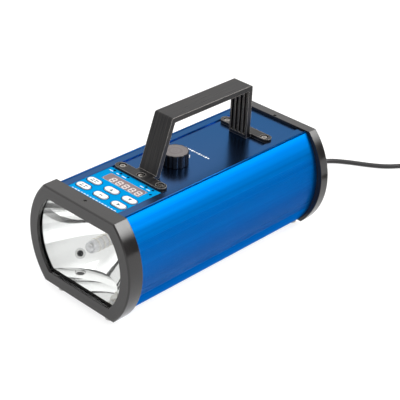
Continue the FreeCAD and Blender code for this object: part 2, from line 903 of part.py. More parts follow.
def make_control_board():
    board = block(
        "control_board_plate",
        "-control_half",
        "-control_front",
        "control_high",
        "2 * control_half",
        "control_front - control_rear",
        "board_thick",
    )
    keep(board, "control_board")
    switches = [
        block(
            "key_switch_%d" % number,
            "(%s) - switch_side / 2" % x,
            "(%s) - switch_side / 2" % y,
            "control_high + board_thick",
            "switch_side",
            "switch_side",
            "switch_tall",
        )
        for number, (x, y) in enumerate(key_places(), start=1)
    ]
    keep(group("key_switch_group", switches), "key_switches")


# ---------------------------------------------------------------- knob and encoder

KNOB_FLUTES = 12


def make_knob():
    body = new_body("knob", z=PANEL_FLOOR + " + knob_lift")
    disc = new_sketch(body, "XY_Plane")
    circle(disc, "0", "-knob_y", "knob_radius")
    pad(disc, "knob_tall")
    recess = new_sketch(body, "XY_Plane", "knob_tall")
    circle(recess, "0", "-knob_y", "cap_radius")
    pocket(recess, "cap_thick")
    skirt = new_sketch(body, "XY_Plane")
    circle(skirt, "0", "-knob_y", "nut_radius + 1.2")
    pocket(skirt, "nut_tall + 1", reverse=True)
    bore = new_sketch(body, "XY_Plane")
    circle(bore, "0", "-knob_y", "shaft_radius")
    pocket(bore, "knob_tall - 3", reverse=True)
    mark = new_sketch(body, "XY_Plane")
    circle(mark, *index_place(), "1.0")
    pocket(mark, "2 * knob_tall + 2", symmetric=True)
    flute = new_sketch(body, "XY_Plane")
    circle(flute, "0", "-knob_y - knob_radius - flute_radius + flute_deep", "flute_radius")
    first = pocket(flute, "2 * knob_tall + 2", symmetric=True)
    flutes = body.newObject("PartDesign::PolarPattern", "knob_flutes")
    flutes.Originals = [first]
    centre = new_sketch(body, "XY_Plane")
    centre.setExpression(".AttachmentOffset.Base.y", bound("-knob_y"))
    flutes.Axis = (centre, ["N_Axis"])
    flutes.Angle = 360
    flutes.Occurrences = KNOB_FLUTES
    body.Tip = flutes
    doc.recompute()
    keep(body, "knob")


def index_place():
    """The index mark lies in the knob's side, towards +X, +Y."""
    return "(knob_radius - 0.15) * cos(45deg)", "-knob_y + (knob_radius - 0.15) * sin(45deg)"


def make_knob_cap():
    high = PANEL_FLOOR + " + knob_lift + knob_tall"
    disc = rod("knob_cap_disc", "0", "-knob_y", high + " - cap_thick", "cap_radius - 0.1", "cap_thick")
    keep(disc, "knob_cap")


def make_knob_index():
    x, y = index_place()
    mark = rod("knob_index_pin", x, y, PANEL_FLOOR + " + knob_lift + 5.5", "0.95", "2.4")
    keep(mark, "knob_index")


def make_encoder():
    top = "axis_high + bore_tall"
    case = block(
        "encoder_case",
        "-encoder_side / 2",
        "-knob_y - encoder_side / 2",
        top + " - encoder_tall",
        "encoder_side",
        "encoder_side",
        "encoder_tall - 0.05",
    )
    bush = rod("encoder_bush", "0", "-knob_y", top + " - 1", "bush_radius", "6.2")
    bore = rod(
        "encoder_bore", "0", "-knob_y", top + " - encoder_tall + 1", "shaft_radius + shaft_gap", "14"
    )
    keep(cut("encoder_shape", fuse("encoder_solid", case, bush), bore), "encoder")
    shaft = rod(
        "encoder_shaft_rod",
        "0",
        "-knob_y",
        top + " - encoder_tall + 1.5",
        "shaft_radius",
        "encoder_tall + channel_deep + knob_tall - 2.9",
    )
    keep(shaft, "encoder_shaft")
    nut = hexagon("encoder_nut_hex", "0", "-knob_y", PANEL_FLOOR, "nut_radius", "nut_tall")
    hole = rod("encoder_nut_hole", "0", "-knob_y", PANEL_FLOOR + " - 1", "bush_radius + 0.05", "nut_tall + 2")
    keep(cut("encoder_nut_shape", nut, hole), "encoder_nut")


# ---------------------------------------------------------------- handle

HANDLE_GROOVES = 4
STRAP_LOW = PANEL_FLOOR + " + 1.0"
GROOVE_LOW = PANEL_FLOOR + " + foot_thick"
BAR_UNDER = "handle_top - strap_thick"
LEAN = "(front_leg_low - front_leg_high) / (handle_top - (%s))" % STRAP_LOW


def leaning(high, inwards):
    """How far back the slanting front leg is at a height, inwards of its outer face."""
    return "-front_leg_low + %s + (%s) * ((%s) - (%s))" % (inwards, LEAN, high, STRAP_LOW)


def make_handle():
    """A flat strap bent to a bow, with lengthwise grooves in its inner side and a flat foot at each end."""
    body = new_body("handle")
    side = new_sketch(body, "YZ_Plane")
    polygon(
        side,
        [
            (leaning(STRAP_LOW, "0"), STRAP_LOW),
            (leaning("handle_top", "0"), "handle_top"),
            ("rear_leg + strap_thick", "handle_top"),
            ("rear_leg + strap_thick", STRAP_LOW),
            ("rear_leg", STRAP_LOW),
            ("rear_leg", BAR_UNDER),
            (leaning(BAR_UNDER, "front_leg_thick"), BAR_UNDER),
            (leaning(STRAP_LOW, "front_leg_thick"), STRAP_LOW),
        ],
    )
    pad(side, "2 * strap_half", symmetric=True)
    round_strap(body)
    groove_roof = BAR_UNDER + " + groove_deep"
    groove_floor = "front_leg_thick - groove_deep - 0.2"
    groove = new_sketch(body, "YZ_Plane", "-groove_pitch * %s" % ((HANDLE_GROOVES - 1) / 2))
    polygon(
        groove,
        [
            ("rear_leg", GROOVE_LOW),
            ("rear_leg", BAR_UNDER),
            (leaning(BAR_UNDER, "front_leg_thick"), BAR_UNDER),
            (leaning(GROOVE_LOW, "front_leg_thick"), GROOVE_LOW),
            (leaning(GROOVE_LOW, groove_floor), GROOVE_LOW),
            (leaning(groove_roof, groove_floor), groove_roof),
            ("rear_leg + groove_deep", groove_roof),
            ("rear_leg + groove_deep", GROOVE_LOW),
        ],
    )
    first = pocket(groove, "groove_wide", symmetric=True)
    grooves = body.newObject("PartDesign::LinearPattern", "handle_grooves")
    grooves.Originals = [first]
    grooves.Direction = (origin_feature(body, "X_Axis"), [""])
    grooves.Occurrences = HANDLE_GROOVES
    drive(grooves, Length="groove_pitch * %d" % (HANDLE_GROOVES - 1))
    body.Tip = grooves
    doc.recompute()
    make_handle_feet(body)
    keep(body, "handle")


def round_strap(body):
    """Rounds the two outer corners of the strap."""
    solid = body.Tip
    high = size("handle_top") - 1e-3
    across = 2 * size("strap_half") - 1e-3
    names = []
    for index, edge in enumerate(solid.Shape.Edges, start=1):
        box = edge.BoundBox
        if box.ZMin > high and box.XMax - box.XMin > across:
            names.append("Edge%d" % index)
    fillet = body.newObject("PartDesign::Fillet", "handle_corners")
    fillet.Base = (solid, names)
    drive(fillet, Radius="strap_round")
    doc.recompute()


def make_handle_feet(body):
    """A round-ended bar under each leg, with counterbored screw holes."""
    low = PANEL_FLOOR + " + 0.05"
    bars = new_sketch(body, "XY_Plane", low)
    slot(bars, "0", "-foot_front + foot_wide / 2", "2 * foot_half", "foot_wide")
    slot(bars, "0", "foot_rear - foot_wide / 2", "2 * foot_half", "foot_wide")
    pad(bars, "foot_thick")
    heels = new_sketch(body, "XY_Plane", low)
    rectangle(
        heels,
        "-strap_half",
        "strap_half",
        "-foot_front + foot_wide - 1",
        leaning(STRAP_LOW, "front_leg_thick"),
    )
    rectangle(heels, "-strap_half", "strap_half", "rear_leg", "foot_rear - foot_wide + 1")
    pad(heels, "foot_thick")
    sinks = new_sketch(body, "XY_Plane", PANEL_FLOOR + " + foot_thick + 0.05")
    holes = new_sketch(body, "XY_Plane", PANEL_FLOOR + " + foot_thick + 0.05")
    for x, y in screw_places():
        circle(sinks, x, y, "sink_radius")
        circle(holes, x, y, "thread_hole")
    pocket(sinks, "sink_deep")
    pocket(holes, "foot_thick + 1")


# ---------------------------------------------------------------- fasteners


def pan_screw(name, x, y, z, long, along="z"):
    """A pan-head screw with a cross recess; x, y, z is under the head, and the shank runs the other way."""
    ahead = {"z": (0, 0, 1), "y": (0, 1, 0)}[along]
    shank_place = ["(%s) - %d * (%s)" % (text, step, long) for text, step in zip((x, y, z), ahead)]
    shank = rod(name + "_shank", *shank_place, "thread_radius", long + " + 0.2", along)
    head = rod(name + "_head", x, y, z, "head_radius", "head_tall", along)
    arms = []
    for arm, lengths in enumerate((("cross_long", "cross_wide"), ("cross_wide", "cross_long"))):
        place, spans = [], []
        sides = iter(lengths)
        for text, step in zip((x, y, z), ahead):
            span = "2 * cross_deep" if step else next(sides)
            start = "(%s) + head_tall - cross_deep" if step else "(%s) - " + span + " / 2"
            place.append(start % text)
            spans.append(span)
        arms.append(block("%s_slot_%d" % (name, arm), *place, *spans))
    return cut(name, fuse(name + "_solid", shank, head), fuse(name + "_cross", *arms))


def make_handle_screws():
    seat = PANEL_FLOOR + " + foot_thick - sink_deep + 0.05"
    places = screw_places()
    for node, chosen in (("handle_screws_front", places[:3]), ("handle_screws_rear", places[3:])):
        screws = [
            pan_screw("%s_%d" % (node, number), x, y, seat, "handle_screw_long")
            for number, (x, y) in enumerate(chosen, start=1)
        ]
        keep(group(node + "_group", screws), node)
    nuts = []
    under = "axis_high + bore_tall - nut_thick - 0.1"
    for number, (x, y) in enumerate(places, start=1):
        nut = hexagon("handle_nut_hex_%d" % number, x, y, under, "nut_hex", "nut_thick")
        hole = rod("handle_nut_hole_%d" % number, x, y, under + " - 1", "thread_hole", "5")
        nuts.append(cut("handle_nut_%d" % number, nut, hole))
    keep(group("handle_nut_group", nuts), "handle_nuts")


def make_ring_screws():
    """Grub screws in the tops of both rings and pan screws through the rear ring."""
    low, tall = "axis_high + bore_tall + 0.1", "case_tall - bore_tall + 0.3"
    for node, y in (("bezel_screw", "-(%s)" % BEZEL_SCREW_Y), ("ring_screw", RING_SCREW_Y)):
        shank = rod(node + "_shank", "0", y, low, "thread_radius", tall)
        socket = hexagon(node + "_socket", "0", y, low + " + " + tall + " - 1.2", "0.9", "2")
        keep(cut(node + "_shape", shank, socket), node)
    face = "rear_end - head_tall - 0.4"
    screws = [
        pan_screw("panel_screw_%d%d" % (i, j), x, face, "axis_high + " + z, "panel_screw_long", "y")
        for i, x in enumerate(("screw_post_x", "-screw_post_x"))
        for j, z in enumerate(("screw_post_z", "(-screw_post_z)"))
    ]
    keep(group("panel_screw_group", screws), "panel_screws")


# ---------------------------------------------------------------- rear panel


def make_rear_panel():
    body = new_body("rear_panel")
    plate = new_sketch(body, "XZ_Plane", "-case_rear")
    plate.setExpression(".AttachmentOffset.Base.y", bound("axis_high"))
    barrel(plate, "case_flat - 0.2", "case_wide - 0.2", "case_tall - channel_deep - 0.2")
    pad(plate, "rear_panel_thick - 0.1", reverse=True)
    holes = new_sketch(body, "XZ_Plane", "-case_rear")
    for x in ("screw_post_x", "-screw_post_x"):
        for z in ("screw_post_z", "-screw_post_z"):
            circle(holes, x, "axis_high + " + z, "thread_hole")
    circle(holes, "jack_x", "jack_z", "jack_radius - 0.9")
    circle(holes, "-cord_x", "cord_z", "relief_radius - 0.5")
    rectangle(
        holes,
        "rocker_x - rocker_half - 1.1",
        "rocker_x + rocker_half + 1.1",
        "rocker_z - rocker_tall - 1.1",
        "rocker_z + rocker_tall + 1.1",
    )
    pocket(holes, "12", symmetric=True)
    keep(body, "rear_panel")


PANEL_OUT = "case_rear + rear_panel_thick - 0.1"


def make_power_switch():
    """Rocker switch: a frame clipped in the panel, and a rocker on an axle across it."""
    out_half, out_tall = "rocker_half + 2.6", "rocker_tall + 2.6"
    flange = block(
        "switch_flange",
        "rocker_x - (%s)" % out_half,
        PANEL_OUT,
        "rocker_z - (%s)" % out_tall,
        "2 * (%s)" % out_half,
        "1.6",
        "2 * (%s)" % out_tall,
    )
    case = block(
        "switch_case",
        "rocker_x - rocker_half - 1",
        "case_rear - 16",
        "rocker_z - rocker_tall - 1",
        "2 * rocker_half + 2",
        "17",
        "2 * rocker_tall + 2",
    )
    hollow = block(
        "switch_hollow",
        "rocker_x - rocker_half - 0.2",
        "case_rear - 7",
        "rocker_z - rocker_tall - 0.2",
        "2 * rocker_half + 0.4",
        "12",
        "2 * rocker_tall + 0.4",
    )
    frame = cut("switch_frame_shape", fuse("switch_frame_solid", flange, case), hollow)
    axle_hole = rod(
        "switch_axle_hole",
        "rocker_x - rocker_half - 0.8",
        ROCKER_AXIS_Y,
        "rocker_z",
        "1.05",
        "2 * rocker_half + 1.6",
        "x",
    )
    keep(cut("switch_frame_bored", frame, axle_hole), "switch_frame")
    keep_rocker()


ROCKER_AXIS_Y = "case_rear - 1.5"
ROCKER_TILT_DEG = 10


# Upper half of the rocker's side view: how far out of the axle, and how far above it.
ROCKER_EDGE = [("-3.6", "2.4"), ("1.0", "rocker_tall - 1.2"), ("4.4", "rocker_tall - 0.7")]
ROCKER_DIP = ("3.3", "0")


def keep_rocker():
    """The rocker: a shallow vee outside and a keel inside, on a short axle, tilted to its off position."""
    body = doc.addObject("PartDesign::Body", "rocker_body")
    side = new_sketch(body, "YZ_Plane", "rocker_x")
    lower = [(out, "-(%s)" % up) for out, up in ROCKER_EDGE]
    outline = lower + [ROCKER_DIP] + ROCKER_EDGE[::-1]
    polygon(side, [("%s + (%s)" % (ROCKER_AXIS_Y, out), "rocker_z + (%s)" % up) for out, up in outline])
    pad(side, "2 * rocker_half - 0.4", symmetric=True)
    axle = new_sketch(body, "YZ_Plane", "rocker_x")
    circle(axle, ROCKER_AXIS_Y, "rocker_z", "1.0")
    pad(axle, "2 * rocker_half + 1.2", symmetric=True)
    pivot = Vector(size("rocker_x"), size(ROCKER_AXIS_Y), size("rocker_z"))
    body.Placement = Placement(Vector(), Rotation(Vector(1, 0, 0), -ROCKER_TILT_DEG), pivot)
    keep(body, "power_rocker")


def make_trigger_jack():
    barrel_part = rod("jack_barrel", "jack_x", "case_rear - 12", "jack_z", "jack_radius - 1", "15.4", "y")
    shoulder = rod("jack_shoulder", "jack_x", "case_rear - 12", "jack_z", "jack_radius + 0.6", "11.9", "y")
    bore = rod("jack_bore", "jack_x", "case_rear - 10", "jack_z", "jack_bore", "20", "y")
    keep(cut("jack_shape", fuse("jack_solid", barrel_part, shoulder), bore), "trigger_jack")
    nut = hexagon("jack_nut_hex", "jack_x", PANEL_OUT, "jack_z", "jack_radius + 1.2", "2.0", "y")
    hole = rod("jack_nut_hole", "jack_x", PANEL_OUT + " - 1", "jack_z", "jack_radius - 0.95", "6", "y")
    keep(cut("jack_nut_shape", nut, hole), "jack_nut")


def make_strain_relief():
    """Tapered sleeve round the cord, with a collar each side of the panel."""
    tip = "cord_radius + 0.9"
    sleeve = cone("relief_sleeve", "-cord_x", PANEL_OUT, "cord_z", "relief_radius", tip, "relief_long", "y")
    collar = rod("relief_collar", "-cord_x", PANEL_OUT, "cord_z", "relief_radius + 1.9", "2.4", "y")
    neck = rod("relief_neck", "-cord_x", "case_rear - 0.6", "cord_z", "relief_radius - 0.6", "4", "y")
    inner = rod("relief_inner", "-cord_x", "case_rear - 4", "cord_z", "relief_radius + 0.8", "3.9", "y")
    bore = rod("relief_bore", "-cord_x", "case_rear - 6", "cord_z", "cord_radius", "60", "y")
    keep(cut("relief_shape", fuse("relief_solid", sleeve, collar, neck, inner), bore), "strain_relief")


# ---------------------------------------------------------------- inside: power board


SINK_FINS = 5


def make_power_board():
    plate = block(
        "power_board_plate",
        "-power_half",
        "-power_front",
        "power_high",
        "2 * power_half",
        "power_front + power_rear",
        "board_thick",
    )
    keep(plate, "power_board")
    floor = "axis_high - bore_tall + 0.05"
    posts = [
        rod("board_post_%d%d" % (i, j), x, y, floor, "post_radius", "power_high - (%s)" % floor)
        for i, x in enumerate(("power_half - post_inset", "-power_half + post_inset"))
        for j, y in enumerate(("-power_front + 6", "power_rear - 6"))
    ]
    keep(group("board_post_group", posts), "board_posts")
    make_board_parts("power_high + board_thick")


def make_board_parts(top):
    """The large parts that stand on the power board."""
    cans = [
        rod("flash_capacitor_%d" % i, x, "-can_y", top + " + can_radius + 0.1", "can_radius", "can_long", "y")
        for i, x in enumerate(("-can_x", "can_x"))
    ]
    keep(group("flash_capacitor_group", cans), "flash_capacitors")
    core = block("choke_core", "-choke_half", "choke_y", top, "2 * choke_half", "choke_thick", "choke_tall")
    winding = block(
        "choke_winding",
        "-winding_half",
        "choke_y - winding_proud",
        top + " + (choke_tall - winding_tall) / 2",
        "2 * winding_half",
        "choke_thick + 2 * winding_proud",
        "winding_tall",
    )
    keep(fuse("power_transformer_shape", core, winding), "power_transformer")
    trigger = fuse(
        "trigger_coil_solid",
        rod("trigger_coil_can", "trigger_x", "-trigger_y", top, "trigger_radius", "trigger_tall"),
        rod("trigger_coil_terminal", "trigger_x", "-trigger_y", top + " + trigger_tall", "2", "3"),
    )
    keep(trigger, "trigger_coil")
    sink_long = "%d * fin_pitch + fin_thick" % (SINK_FINS - 1)
    sink = [block("sink_base", "-fin_x", "fin_y", top, "fin_base", sink_long, "fin_tall")]
    root = "-fin_x + fin_base - 0.5"
    for fin in range(SINK_FINS):
        y = "fin_y + %d * fin_pitch" % fin
        sink.append(block("sink_fin_%d" % fin, root, y, top, "fin_long", "fin_thick", "fin_tall"))
    keep(fuse("heat_sink_shape", *sink), "heat_sink")


# ---------------------------------------------------------------- feet


def make_feet():
    for node, y in (("front_feet", "-stand_y"), ("rear_feet", "stand_rear_y")):
        feet = [
            cone(
                "%s_%d" % (node, i), x, y, "0", "stand_radius - 0.6", "stand_radius",
                "axis_high - ring_tall",
            )
            for i, x in enumerate(("stand_x", "-stand_x"))
        ]
        keep(group(node + "_group", feet), node)


# ---------------------------------------------------------------- power cord

# Points of the cord's route, from the strain relief to the coil. It sags to the surface and runs
# along it: the height of its centre there is just over its radius.
ROUTE = [
    (-30.0, 157.9, 38.0),
    (-30.0, 173.9, 37.0),
    (-29.5, 194.0, 28.6),
    (-28.0, 213.0, 14.4),
    (-25.5, 232.0, 4.4),
    (-20.0, 248.5, 2.6),
    (-5.0, 260.5, 2.6),
    (17.0, 273.8, 2.6),
    (31.0, 285.2, 2.6),
    (42.0, 301.0, 2.6),
    (56.5, 317.5, 2.6),
    (70.5, 332.0, 2.6),
]
ARC_SHARE = 0.45
COIL_TURN = 40.6
EXIT_TURN_DEG = 15
TAIL_LONG = 26.0
TAIL_HIGH = 7.7


def rounded_path(points):
    """Straight runs joined by tangent arcs, each as large as its two runs allow."""
    places = [Vector(*point) for point in points]
    edges = []
    start = places[0]
    for before, corner, after in zip(places, places[1:], places[2:]):
        back, on = before - corner, after - corner
        half_turn = (math.pi - back.getAngle(on)) / 2
        reach = ARC_SHARE * min(back.Length, on.Length)
        radius = reach / math.tan(half_turn)
        print("cord arc radius %.1f mm" % radius)
        first = corner + back.normalize() * reach
        last = corner + on.normalize() * reach
        bisector = (first + last) * 0.5 - corner
        middle = corner + bisector.normalize() * (radius / math.cos(half_turn) - radius)
        edges.append(Part.LineSegment(start, first).toShape())
        edges.append(Part.Arc(first, middle, last).toShape())
        start = last
    edges.append(Part.LineSegment(start, places[-1]).toShape())
    return Part.Wire(edges)


def cord_tube(node, points):
    radius = size("cord_radius")
    path = rounded_path(points)
    start, towards = Vector(*points[0]), Vector(*points[1]) - Vector(*points[0])
    profile = Part.Wire(Part.makeCircle(radius, start, towards))
    solid = path.makePipeShell([profile], True, True)
    expected = math.pi * radius**2 * path.Length
    if abs(solid.Volume / expected - 1) > 0.01:
        raise RuntimeError("the cord's volume is %.0f, not %.0f" % (solid.Volume, expected))
    print("cord %s runs %.1f mm" % (node, path.Length))
    made = doc.addObject("Part::Feature", node + "_shape")
    made.Shape = solid
    made.Placement = Placement()
    keep(made, node)


def coil_exit(along):
    """A point along is past where the last turn leaves the coil on its tangent."""
    turn = math.radians(EXIT_TURN_DEG)
    x = size("coil_x") + COIL_TURN * math.cos(turn) + along * math.sin(turn)
    y = size("coil_y") + COIL_TURN * math.sin(turn) - along * math.cos(turn)
    return Vector(x, y, TAIL_HIGH)


def make_cord():
    cord_tube("power_cord", ROUTE)
    ring = rod("coil_disc", "coil_x", "coil_y", "0.1", "coil_outer", "coil_tall")
    eye = rod("coil_eye", "coil_x", "coil_y", "-1", "coil_inner", "coil_tall + 2")
    keep(cut("coil_shape", ring, eye), "cord_coil")
    tail = doc.addObject("Part::Cylinder", "tail_rod")
    tail.Placement = Placement(coil_exit(0), plug_turn())
    drive(tail, Radius="cord_radius")
    tail.Height = TAIL_LONG
    keep(tail, "cord_tail")


def plug_turn():
    """Turns +Z to the direction in which the cord leaves the coil, flat on the surface."""
    heading = coil_exit(1) - coil_exit(0)
    across = Vector(-heading.y, heading.x, 0)
    return Rotation(across, Vector(0, 0, 1), heading, "ZXY")


def plug_piece(kind, name, along, across=0.0, **sizes):
    made = doc.addObject("Part::" + kind, name)
    heading = coil_exit(1) - coil_exit(0)
    side = Vector(-heading.y, heading.x, 0) * across
    made.Placement = Placement(coil_exit(along) + side, plug_turn())
    drive(made, **sizes)
    return made


def make_plug():
    """A flat two-pin plug lying on its side: tapered relief, body, and two pins."""
    relief = plug_piece(
        "Cone",
        "plug_relief",
        TAIL_LONG,
        Radius1="cord_radius + 0.9",
        Radius2="relief_radius",
        Height="plug_neck",
    )
    body_start = TAIL_LONG + size("plug_neck") - 1
    body = plug_piece(
        "Box", "plug_block", body_start, Length="2 * plug_half", Width="plug_thick", Height="plug_long"
    )
    corner = Vector(-size("plug_half"), -size("plug_thick") / 2, 0)
    body.Placement.Base = body.Placement.multVec(corner)
    keep(fuse("power_plug_shape", relief, body), "power_plug")
    pins = []
    for side in (-1, 1):
        across = side * size("pin_pitch") / 2
        start = body_start + size("plug_long")
        pins.append(
            plug_piece(
                "Cylinder", "plug_pin_%d" % (side + 1), start, across, Radius="pin_radius", Height="pin_long"
            )
        )
    keep(group("plug_pin_group", pins), "plug_pins")


def check_and_export():
    doc.recompute()
    for thing in doc.Objects:
        if "Invalid" in thing.State or "Error" in thing.State:
            raise RuntimeError("%s wasn't built" % thing.Name)
    os.makedirs("parts", exist_ok=True)
    for node in NODES:
        if node.Shape.isNull() or not node.Shape.isValid() or node.Shape.Volume <= 0:
            raise RuntimeError("%s has no valid shape" % node.Label)
    for node in NODES:
        node.Shape.exportStep("parts/%s.step" % node.Label)


make_housing()
make_front_bezel()
make_rear_ring()
make_gasket()
make_glass()
make_reflector()
make_sensor_bush()
make_flash_tube()
make_tube_electrodes()
make_trigger_wire()
make_tube_base()
make_lamp_socket()
make_socket_bracket()
make_membrane_panel()
make_keys()
make_display()
make_indicator_lamps()
make_control_board()
make_knob()
make_knob_cap()
make_knob_index()
make_encoder()
make_handle()
make_handle_screws()
make_ring_screws()
make_rear_panel()
make_power_switch()
make_trigger_jack()
make_strain_relief()
make_power_board()
make_feet()
make_cord()
make_plug()
check_and_export()
print("%d sub-parts" % len(NODES))
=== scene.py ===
import math

import bmesh
import bpy
from mathutils import Matrix, Vector


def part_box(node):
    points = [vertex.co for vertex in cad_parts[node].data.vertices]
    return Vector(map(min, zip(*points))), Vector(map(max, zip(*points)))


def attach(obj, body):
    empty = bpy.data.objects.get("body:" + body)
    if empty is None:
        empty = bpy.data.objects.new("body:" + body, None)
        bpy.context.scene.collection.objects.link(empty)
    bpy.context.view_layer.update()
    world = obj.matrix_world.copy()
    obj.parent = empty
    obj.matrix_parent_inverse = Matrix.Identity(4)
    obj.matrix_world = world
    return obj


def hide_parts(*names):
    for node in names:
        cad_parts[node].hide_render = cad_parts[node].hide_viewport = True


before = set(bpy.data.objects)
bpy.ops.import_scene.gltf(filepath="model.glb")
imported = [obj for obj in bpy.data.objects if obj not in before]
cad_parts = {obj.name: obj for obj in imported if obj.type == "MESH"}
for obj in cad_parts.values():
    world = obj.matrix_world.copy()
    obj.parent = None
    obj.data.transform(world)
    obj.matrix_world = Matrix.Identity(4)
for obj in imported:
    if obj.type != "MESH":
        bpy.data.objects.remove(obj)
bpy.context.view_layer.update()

# A portable flash stroboscope on a plain pale floor, in metres unless a comment says otherwise.
# The frame is the CAD model's: +X to the right seen from the lamp end, +Y towards the cord end, +Z up,
# and z = 0 on the floor.

MM = 0.001

# ---------------------------------------------------------------- camera

CAMERA_AIM = Vector((0.0588, -0.0423, 0.1012))
CAMERA_AZIMUTH = math.radians(42.75)
CAMERA_ELEVATION = math.radians(30.3)
CAMERA_ROLL = math.radians(2.7)
CAMERA_DISTANCE = 1.102
CAMERA_LENS = 114.1
CAMERA_SENSOR = 36.0


def make_camera():
    """A camera at a distance from the point it looks at, turned a little about its own axis."""
    data = bpy.data.cameras.new("camera")
    data.lens = CAMERA_LENS
    data.sensor_width = CAMERA_SENSOR
    data.clip_start = 0.01
    camera = bpy.data.objects.new("camera", data)
    bpy.context.scene.collection.objects.link(camera)
    flat = math.cos(CAMERA_ELEVATION)
    back = Vector(
        (math.sin(CAMERA_AZIMUTH) * flat, -math.cos(CAMERA_AZIMUTH) * flat, math.sin(CAMERA_ELEVATION))
    )
    look = back.to_track_quat("Z", "Y").to_matrix().to_4x4()
    roll = Matrix.Rotation(CAMERA_ROLL, 4, "Z")
    camera.matrix_world = Matrix.Translation(CAMERA_AIM + back * CAMERA_DISTANCE) @ look @ roll
    bpy.context.scene.camera = camera


# ---------------------------------------------------------------- light and floor

ROOM_BASE = 0.11
# Soft patches of light: the way to each, how many degrees from its middle it starts and ends fading, and
# how bright it is.
ROOM_PATCHES = [
    ((0.587, 0.492, 0.643), 5, 24, 11.5),   # right rear, seen in the upper side of the case
    ((0.10, 0.05, 1.00), 15, 50, 0.7),      # overhead
    ((-0.59, 0.63, 0.60), 12, 42, 1.15),    # left rear, seen in the top of the case
    ((0.10, -1.00, 0.50), 50, 90, 0.74),    # front
    ((-0.9, -0.3, 0.55), 20, 50, 0.5),      # left
]


def make_world():
    """A pale studio room: a dim base with soft patches of light."""
    world = bpy.data.worlds.new("room")
    world.use_nodes = True
    tree = world.node_tree
    background = tree.nodes["Background"]
    place = tree.nodes.new("ShaderNodeTexCoord")
    total = None
    for toward, inner, outer, power in ROOM_PATCHES:
        dot = tree.nodes.new("ShaderNodeVectorMath")
        dot.operation = "DOT_PRODUCT"
        dot.inputs[1].default_value = Vector(toward).normalized()
        tree.links.new(place.outputs["Generated"], dot.inputs[0])
        patch = tree.nodes.new("ShaderNodeMapRange")
        patch.interpolation_type = "SMOOTHSTEP"
        patch.inputs["From Min"].default_value = math.cos(math.radians(outer))
        patch.inputs["From Max"].default_value = math.cos(math.radians(inner))
        patch.inputs["To Max"].default_value = power
        tree.links.new(dot.outputs["Value"], patch.inputs["Value"])
        add = tree.nodes.new("ShaderNodeMath")
        add.operation = "ADD"
        add.inputs[0].default_value = ROOM_BASE
        if total is not None:
            tree.links.new(total, add.inputs[0])
        tree.links.new(patch.outputs["Result"], add.inputs[1])
        total = add.outputs[0]
    background.inputs["Color"].default_value = (1.0, 0.995, 0.985, 1.0)
    tree.links.new(total, background.inputs["Strength"])
    bpy.context.scene.world = world


SOFTBOX_PLACE = Vector((0.25, -0.35, 1.7))
SOFTBOX_SIDE = 1.5
SOFTBOX_POWER = 6.0


def make_softbox():
    """A large soft light above the object, aimed at the origin."""
    data = bpy.data.lights.new("top_softbox", "AREA")
    data.shape = "SQUARE"
    data.size = SOFTBOX_SIDE
    data.energy = SOFTBOX_POWER
    light = bpy.data.objects.new("top_softbox", data)
    bpy.context.scene.collection.objects.link(light)
    light.location = SOFTBOX_PLACE
    light.rotation_euler = SOFTBOX_PLACE.to_track_quat("Z", "Y").to_euler()


FLOOR_GLOW = 0.79       # the paper glows, which keeps the shadow faint
FLOOR_REACH = 60.0      # far enough for a low view


def make_floor():
    """A flat pale floor under everything."""
    mesh = bpy.data.meshes.new("floor")
    corners = [(x * FLOOR_REACH, y * FLOOR_REACH, 0) for x, y in ((-1, -1), (1, -1), (1, 1), (-1, 1))]
    mesh.from_pydata(corners, [], [(0, 1, 2, 3)])
    floor = bpy.data.objects.new("floor", mesh)
    bpy.context.scene.collection.objects.link(floor)
    made, shader = new_material("floor_paper", (0.26, 0.26, 0.26), roughness=0.9)
    shader.inputs["Emission Color"].default_value = (1.0, 1.0, 1.0, 1.0)
    shader.inputs["Emission Strength"].default_value = FLOOR_GLOW
    vary_value(made, shader, "Roughness", object_noise(made, EVEN, 3.0), 0.85, 0.95)
    mesh.materials.append(made)


# ---------------------------------------------------------------- material helpers

EVEN = (1.0, 1.0, 1.0)      # the stretch of a texture that is the same along every axis
EDGE_SAMPLES = 6
NOISE_LOW, NOISE_HIGH = 0.3, 0.7      # most of a noise texture's values lie between these


def new_material(name, color, metallic=0.0, roughness=0.5, **values):
    """A material with one Principled shader. values are its other sockets, with _ for a space."""
    made = bpy.data.materials.new(name)
    made.use_nodes = True
    shader = made.node_tree.nodes["Principled BSDF"]
    shader.inputs["Base Color"].default_value = (*color, 1.0)
    shader.inputs["Metallic"].default_value = metallic
    shader.inputs["Roughness"].default_value = roughness
    for socket, value in values.items():
        shader.inputs[socket.replace("_", " ")].default_value = value
    return made, shader


def object_place(made, stretch):
    """The piece's own coordinates, times stretch along each axis."""
    tree = made.node_tree
    place = tree.nodes.new("ShaderNodeTexCoord")
    mapping = tree.nodes.new("ShaderNodeMapping")
    mapping.inputs["Scale"].default_value = stretch
    tree.links.new(place.outputs["Object"], mapping.inputs["Vector"])
    return mapping.outputs["Vector"]


def object_noise(made, stretch, scale, detail=3.0):
    """Noise in the piece's own coordinates. A small stretch draws it out along that axis."""
    tree = made.node_tree
    noise = tree.nodes.new("ShaderNodeTexNoise")
    noise.inputs["Scale"].default_value = scale
    noise.inputs["Detail"].default_value = detail
    tree.links.new(object_place(made, stretch), noise.inputs["Vector"])
    return noise.outputs["Fac"]


def object_cells(made, scale):
    """Square-edged cells in the piece's own coordinates, for copper tracks."""
    tree = made.node_tree
    cells = tree.nodes.new("ShaderNodeTexVoronoi")
    cells.distance = "CHEBYCHEV"
    cells.inputs["Scale"].default_value = scale
    tree.links.new(object_place(made, EVEN), cells.inputs["Vector"])
    return cells.outputs["Distance"]


